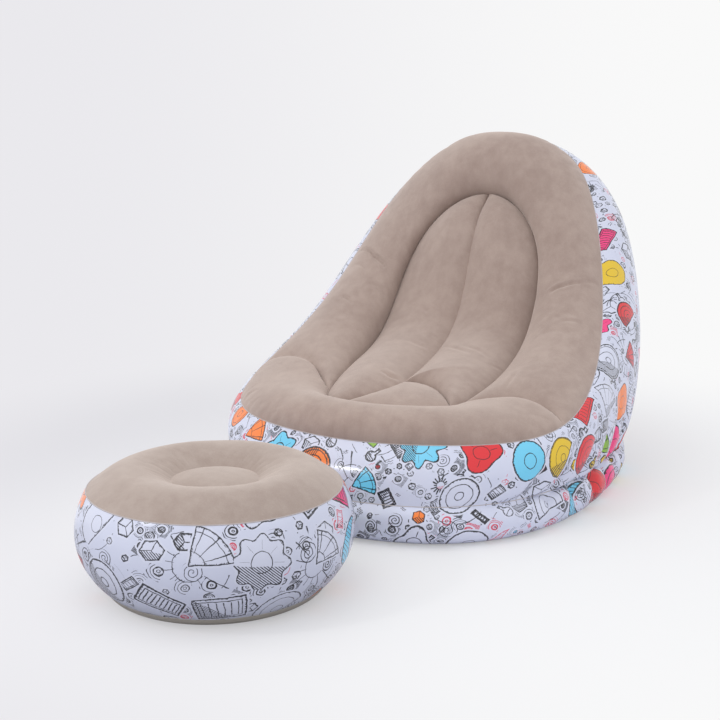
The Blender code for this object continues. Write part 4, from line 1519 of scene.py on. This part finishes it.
def inked(paint, place, pen, field, motifs, line_width, shown):
    """Where a layer's motifs lie, how far outside them a place is, and where their ink lies."""
    edge, line = drawn(field, motifs)
    weight = line_width * paint.mix(field.turn, *WEIGHT_BY_MOTIF) * paint.mix(pen, *WEIGHT_BY_PEN)
    inside = paint.ramp(-edge, -EDGE_BLUR, EDGE_BLUR) * shown
    outline = stroke(paint, abs(edge), weight, OUTLINE)
    again = stroke(paint, abs(edge + (pen - SECOND_CROSSING) * SECOND_STRAY), weight, SECOND_OUTLINE)
    open_line = edge > OPEN_LINE_SHARE * field.size
    detail = stroke(paint, line, weight, DETAIL) * paint.math("MAXIMUM", inside, open_line)
    x, y, _ = paint.split(place)
    hatching = stroke(paint, field.stripes(x + y, HATCH_LINES), HATCH_WIDTH, HATCHING)
    hatching = hatching * inside * (field.y + field.x < HATCH_END) * (field.other > HATCH_FROM)
    return inside, edge, field.within(outline, again * SECOND_SHARE, detail, hatching) * shown


def lay_doodles(paint, tone, place, pen, field, motifs, line_width, present, filled):
    """Draws one layer of motifs over a tone: blank paper under each, then its colour, then its ink."""
    shown = field.luck < present
    inside, edge, ink = inked(paint, place, pen, field, motifs, line_width, shown)
    tone = paint.dye(paint.ramp(-edge, *PAPER_MARGIN) * shown, tone, PAPER)
    tint = MARKERS[0]
    for i, marker in enumerate(MARKERS[1:], start=1):
        tint = paint.dye(field.tint > i / len(MARKERS), tint, marker)
    tone = paint.dye(inside * (field.swell < filled), tone, tint)
    draw = paint.math("FRACT", field.kind * RED_PEN_SPREAD + field.luck)
    red = (draw > RED_PEN_FROM) * (filled < RED_PEN_FILLED)
    return paint.dye(ink * paint.mix(pen, *DARKNESS_BY_PEN), tone, paint.dye(red, INK, RED_INK))


# Layers of the print, fine to coarse: size of a field, seed, lean, drift, reach, width of a line, shares of
# the fields that are drawn on the chair and on the footstool, share of those with colour, and motifs
PRINT_LAYERS = (
    (0.026, 3, 0.5, 0.45, 0.36, 0.0009, 0.66, 0.34, 0.05, (target, cube, ripples, crayon)),
    (0.056, 2, -0.35, 0.35, 0.44, 0.0013, 0.74, 0.55, 0.25,
     (spiral, cube, striped_slab, rays, flask, leaf)),
    (0.112, 1, 0.16, 0.16, 0.50, 0.0014, 0.78, 0.80, 1.0,
     (flower, half_round, striped_slab, target, fan, crescent, crayon)),
)
WARPS = ((6, 0.030), (90, 0.0035))
SHEET_UNEVENNESS = 0.0015
PRINT_ROUGHNESS = 0.24
PRINT_ROUGHNESS_SPREAD = 0.10

# Where the print has more colour, in metres on its map: a band of the chair's wall, its right side low down,
# and the footstool away from the middle of what the camera sees; and the shares of motifs outside and inside
BAND_START = (0.02, 0.06)
BAND_END = (0.14, 0.20)
SIDE_START = (0.50, 0.62)
SIDE_TOP = (0.20, 0.26)
CHAIR_COLOURS = (0.30, 0.95)
STOOL_PLAIN_MIDDLE = 10.11
STOOL_PLAIN_REACH = (0.20, 0.28)
STOOL_COLOURS = (0.06, 0.96)


def printed_vinyl(name):
    """Vinyl with the doodle print, which is sparser and mostly without colour on the footstool."""
    paint = Paint(name, Coat_Weight=0.25, Coat_Roughness=0.12, Specular_IOR_Level=0.5)
    places = paint.wire(paint.node("UVMap", {"uv_map": PRINT_MAP}))
    warped = places
    for scale, amount in WARPS:
        noise = paint.node("TexNoise", None, {"Vector": places, "Scale": scale, "Detail": 1})
        offset = paint.vector("SUBTRACT", paint.wire(noise, "Color"), (0.5, 0.5, 0.5))
        warped = paint.vector("MULTIPLY_ADD", offset, (amount, amount, 0), warped)
    pen = paint.noise(places, scale=210, detail=1)
    tone = paint.dye(paint.noise(places, scale=5), PAPER, PAPER_SHADE)
    for size, seed, lean, drift, reach, line_width, chair_share, stool_share, colours, motifs in PRINT_LAYERS:
        field = Field(paint, warped, size, seed, lean, drift, reach)
        on_stool = field.along > STOOL_PRINT_START[0] / 2
        present = paint.mix(on_stool, chair_share, stool_share)
        filled = paint.mix(on_stool, chair_colours(field), stool_colours(field)) * colours
        tone = lay_doodles(paint, tone, places, pen, field, motifs, line_width, present, filled)
    slow = paint.noise(places, scale=11)
    rough = PRINT_ROUGHNESS + (slow - 0.5) * PRINT_ROUGHNESS_SPREAD
    uneven = paint.bump(slow, SHEET_UNEVENNESS, strength=0.5)
    return paint.lay(Base_Color=tone, Roughness=rough, Normal=uneven)


def chair_colours(field):
    """More coloured motifs in the band below the chair's top seam in front, and low on its right side."""
    ramp = field.paint.ramp
    band = ramp(field.up, *BAND_START) * (1 - ramp(field.up, *BAND_END))
    side = ramp(field.along, *SIDE_START) * (1 - ramp(field.up, *SIDE_TOP))
    return field.paint.mix(field.paint.math("MAXIMUM", band, side), *CHAIR_COLOURS)


def stool_colours(field):
    """Coloured motifs at the two edges that the camera sees, few between them."""
    away = field.paint.ramp(abs(field.along - STOOL_PLAIN_MIDDLE), *STOOL_PLAIN_REACH)
    return field.paint.mix(away, *STOOL_COLOURS)


# Materials

CHAIR_FLOCK = flock("chair_flock", colour(173, 154, 144), colour(151, 131, 122))
# The footstool's flock is the chair's fabric, painted a little lighter as painted light from above
STOOL_FLOCK_PAINTED_LIGHTER = flock("stool_flock_painted_lighter", colour(172, 157, 148), colour(153, 136, 127))
PRINTED_VINYL = printed_vinyl("printed_vinyl")
BASE_VINYL = plain_vinyl("base_vinyl", colour(168, 161, 151), roughness=0.42)
WEB_VINYL = plain_vinyl("web_vinyl", colour(205, 205, 208), roughness=0.45)
WELD_VINYL = plain_vinyl("weld_vinyl", colour(186, 178, 178), roughness=0.4)
BASE_WELD = plain_vinyl("base_weld", colour(176, 170, 162), roughness=0.4)
VALVE_VINYL = plain_vinyl("valve_vinyl", colour(222, 223, 228), roughness=0.22, coat=0.3)
FLAP_RUBBER = plain_vinyl("flap_rubber", colour(150, 150, 155), roughness=0.5)


def dress_valves():
    """The valves keep their solids and get their moulded finish."""
    for name, node in frame["nodes"].items():
        if "valve" in name:
            node.data.materials.clear()
            node.data.materials.append(FLAP_RUBBER if name.endswith("_flap") else VALVE_VINYL)


# Studio

CAMERA_PLACE = (1.1927, -2.8956, 0.9392)
CAMERA_TARGET = (-0.089, -0.235, 0.334)
LENS = 0.06303
SENSOR = 0.036
MILLIMETRES = 1000

# Lamps: name, place, target, size and watts
LAMPS = (
    ("overhead", (-0.8, -1.2, 3.2), (0, -0.3, 0), 2.6, 13),
    ("key", (-1.05, -2.35, 1.65), (-0.1, -0.8, 0.2), 0.26, 7),
)
SKY = (0.97, 0.98, 1, 1)
SKY_LEVEL = 1.0
BACKDROP_LEFT = colour(234, 233, 237)
BACKDROP_RIGHT = colour(249, 249, 249)
BACKDROP_SPREAD = 0.27

# Floor: its colours as the camera sees it, then as the object sees it, and how it turns into the backdrop
FLOOR_REACH = 9
FLOOR_PALE = colour(237, 237, 238)
# Painted shadow: the floor that the camera sees is darker to the left, beside the footstool
FLOOR_LEFT_PAINTED_SHADOW = colour(206, 205, 209)
FLOOR_PAINTED_SHADOW_SPREAD = (-1.2, -0.25)
FLOOR_BOUNCE = colour(236, 236, 242)
# Painted shade: the floor that the object sees is darker in front, round the footstool, which darkens the
# footstool's lower wall
FLOOR_BOUNCE_PAINTED_SHADE = colour(188, 188, 194)
FLOOR_BOUNCE_SHADE_SPREAD = (-0.92, -0.62)
FLOOR_FADE = (0.7, 1.7)
FLOOR_GLOW_SHARE = 0.35


def set_camera():
    data = bpy.data.cameras.new("camera")
    data.sensor_width = SENSOR * MILLIMETRES
    data.lens = LENS * MILLIMETRES
    camera = bpy.data.objects.new("camera", data)
    camera.location = CAMERA_PLACE
    back = Vector(CAMERA_PLACE) - Vector(CAMERA_TARGET)
    camera.rotation_euler = back.to_track_quat("Z", "Y").to_euler()
    bpy.context.scene.collection.objects.link(camera)
    bpy.context.scene.camera = camera


def add_lamp(name, place, target, size, power):
    data = bpy.data.lights.new(name, "AREA")
    data.shape = "DISK"
    data.size = size
    data.energy = power
    lamp = bpy.data.objects.new(name, data)
    lamp.location = place
    lamp.rotation_euler = (Vector(place) - Vector(target)).to_track_quat("Z", "Y").to_euler()
    bpy.context.scene.collection.objects.link(lamp)


def backdrop(nodes, direction):
    """The plain backdrop in one direction from the camera, a little brighter to the right."""
    right = Vector(CAMERA_PLACE) - Vector(CAMERA_TARGET)
    right = Vector((-right.y, right.x, 0)).normalized()
    across = nodes.vector("DOT_PRODUCT", direction, tuple(right), output="Value")
    return nodes.dye(nodes.ramp(across, -BACKDROP_SPREAD, BACKDROP_SPREAD), BACKDROP_LEFT, BACKDROP_RIGHT)


def set_world():
    world = bpy.data.worlds.new("studio")
    bpy.context.scene.world = world
    world.use_nodes = True
    nodes = Nodes(world.node_tree)
    direction = nodes.wire(nodes.node("TexCoord"), "Generated")
    light = nodes.node("Background", None, {"Color": SKY, "Strength": SKY_LEVEL})
    shown = nodes.node("Background", None, {"Color": backdrop(nodes, direction)})
    nodes.blend(nodes.seen(), light, shown, "World Output")


def floor_paint():
    """Pale paint that keeps soft shadows near the chair, with a painted shadow to the left of the footstool
    and painted shade in the light it throws back in front of it, and turns into the backdrop further away.
    """
    paint = Paint("studio_floor", Roughness=0.9, Specular_IOR_Level=0.1)
    place = paint.wire(paint.node("TexCoord"), "Object")
    away = paint.vector("LENGTH", place, output="Value")
    seen = paint.seen()
    across, along = paint.split(place)[:2]
    # Painted shadow: darker towards the left, beside the footstool
    pale = paint.dye(paint.ramp(across, *FLOOR_PAINTED_SHADOW_SPREAD), FLOOR_LEFT_PAINTED_SHADOW, FLOOR_PALE)
    # Painted shade: the floor throws back less light in front, round the footstool
    bounce_with_painted_shade = paint.dye(paint.ramp(along, *FLOOR_BOUNCE_SHADE_SPREAD), FLOOR_BOUNCE_PAINTED_SHADE, FLOOR_BOUNCE)
    paint.lay(Base_Color=paint.dye(seen, bounce_with_painted_shade, pale))
    direction = paint.vector("NORMALIZE", paint.vector("SUBTRACT", place, CAMERA_PLACE))
    glow = paint.node("Emission", None, {"Color": backdrop(paint, direction)})
    share = FLOOR_GLOW_SHARE + paint.ramp(away, *FLOOR_FADE) * (1 - FLOOR_GLOW_SHARE)
    paint.blend(share * seen, paint.shader, glow, "Material Output")
    return paint.material


def add_floor():
    mesh = bpy.data.meshes.new("studio_floor")
    shape = bmesh.new()
    bmesh.ops.create_grid(shape, x_segments=1, y_segments=1, size=FLOOR_REACH)
    shape.to_mesh(mesh)
    shape.free()
    floor = bpy.data.objects.new("studio_floor", mesh)
    bpy.context.scene.collection.objects.link(floor)
    mesh.materials.append(floor_paint())


def build_chair():
    build_ring()
    build_wall()
    build_floor_sheet()
    build_inner_sheets()
    build_chair_welds()
    return [*build_rim(), build_dish()]


def build_footstool():
    build_stool_wall()
    build_stool_pan()
    build_stool_inside_and_welds()
    return [build_stool_top()]


def smooth(piece):
    finer = piece.modifiers.new("finer", "SUBSURF")
    finer.levels = 1
    finer.render_levels = 1
    settle(piece)


def press_lines(piece, lines):
    points = coordinates_of(piece.data)
    normals = np.empty(points.size, np.float32)
    piece.data.vertices.foreach_get("normal", normals)
    for line, depth, width in lines:
        press(points, normals.reshape(-1, 3), line, depth, width)
    piece.data.vertices.foreach_set("co", points.ravel())
    piece.data.update()


def finish_soft(piece, lines):
    """Smooths all but the footstool's fine top, presses the creases and gives the sheet its thickness."""
    if piece.name != "stool_top":
        smooth(piece)
    if lines:
        press_lines(piece, lines)
    thicken(piece)


soft_pieces = build_chair() + build_footstool()
blow_up([piece for piece, lines in soft_pieces])
for piece, lines in soft_pieces:
    finish_soft(piece, lines)
dress_valves()
set_camera()
for lamp in LAMPS:
    add_lamp(*lamp)
set_world()
add_floor()
bpy.context.scene.view_settings.view_transform = "Standard"
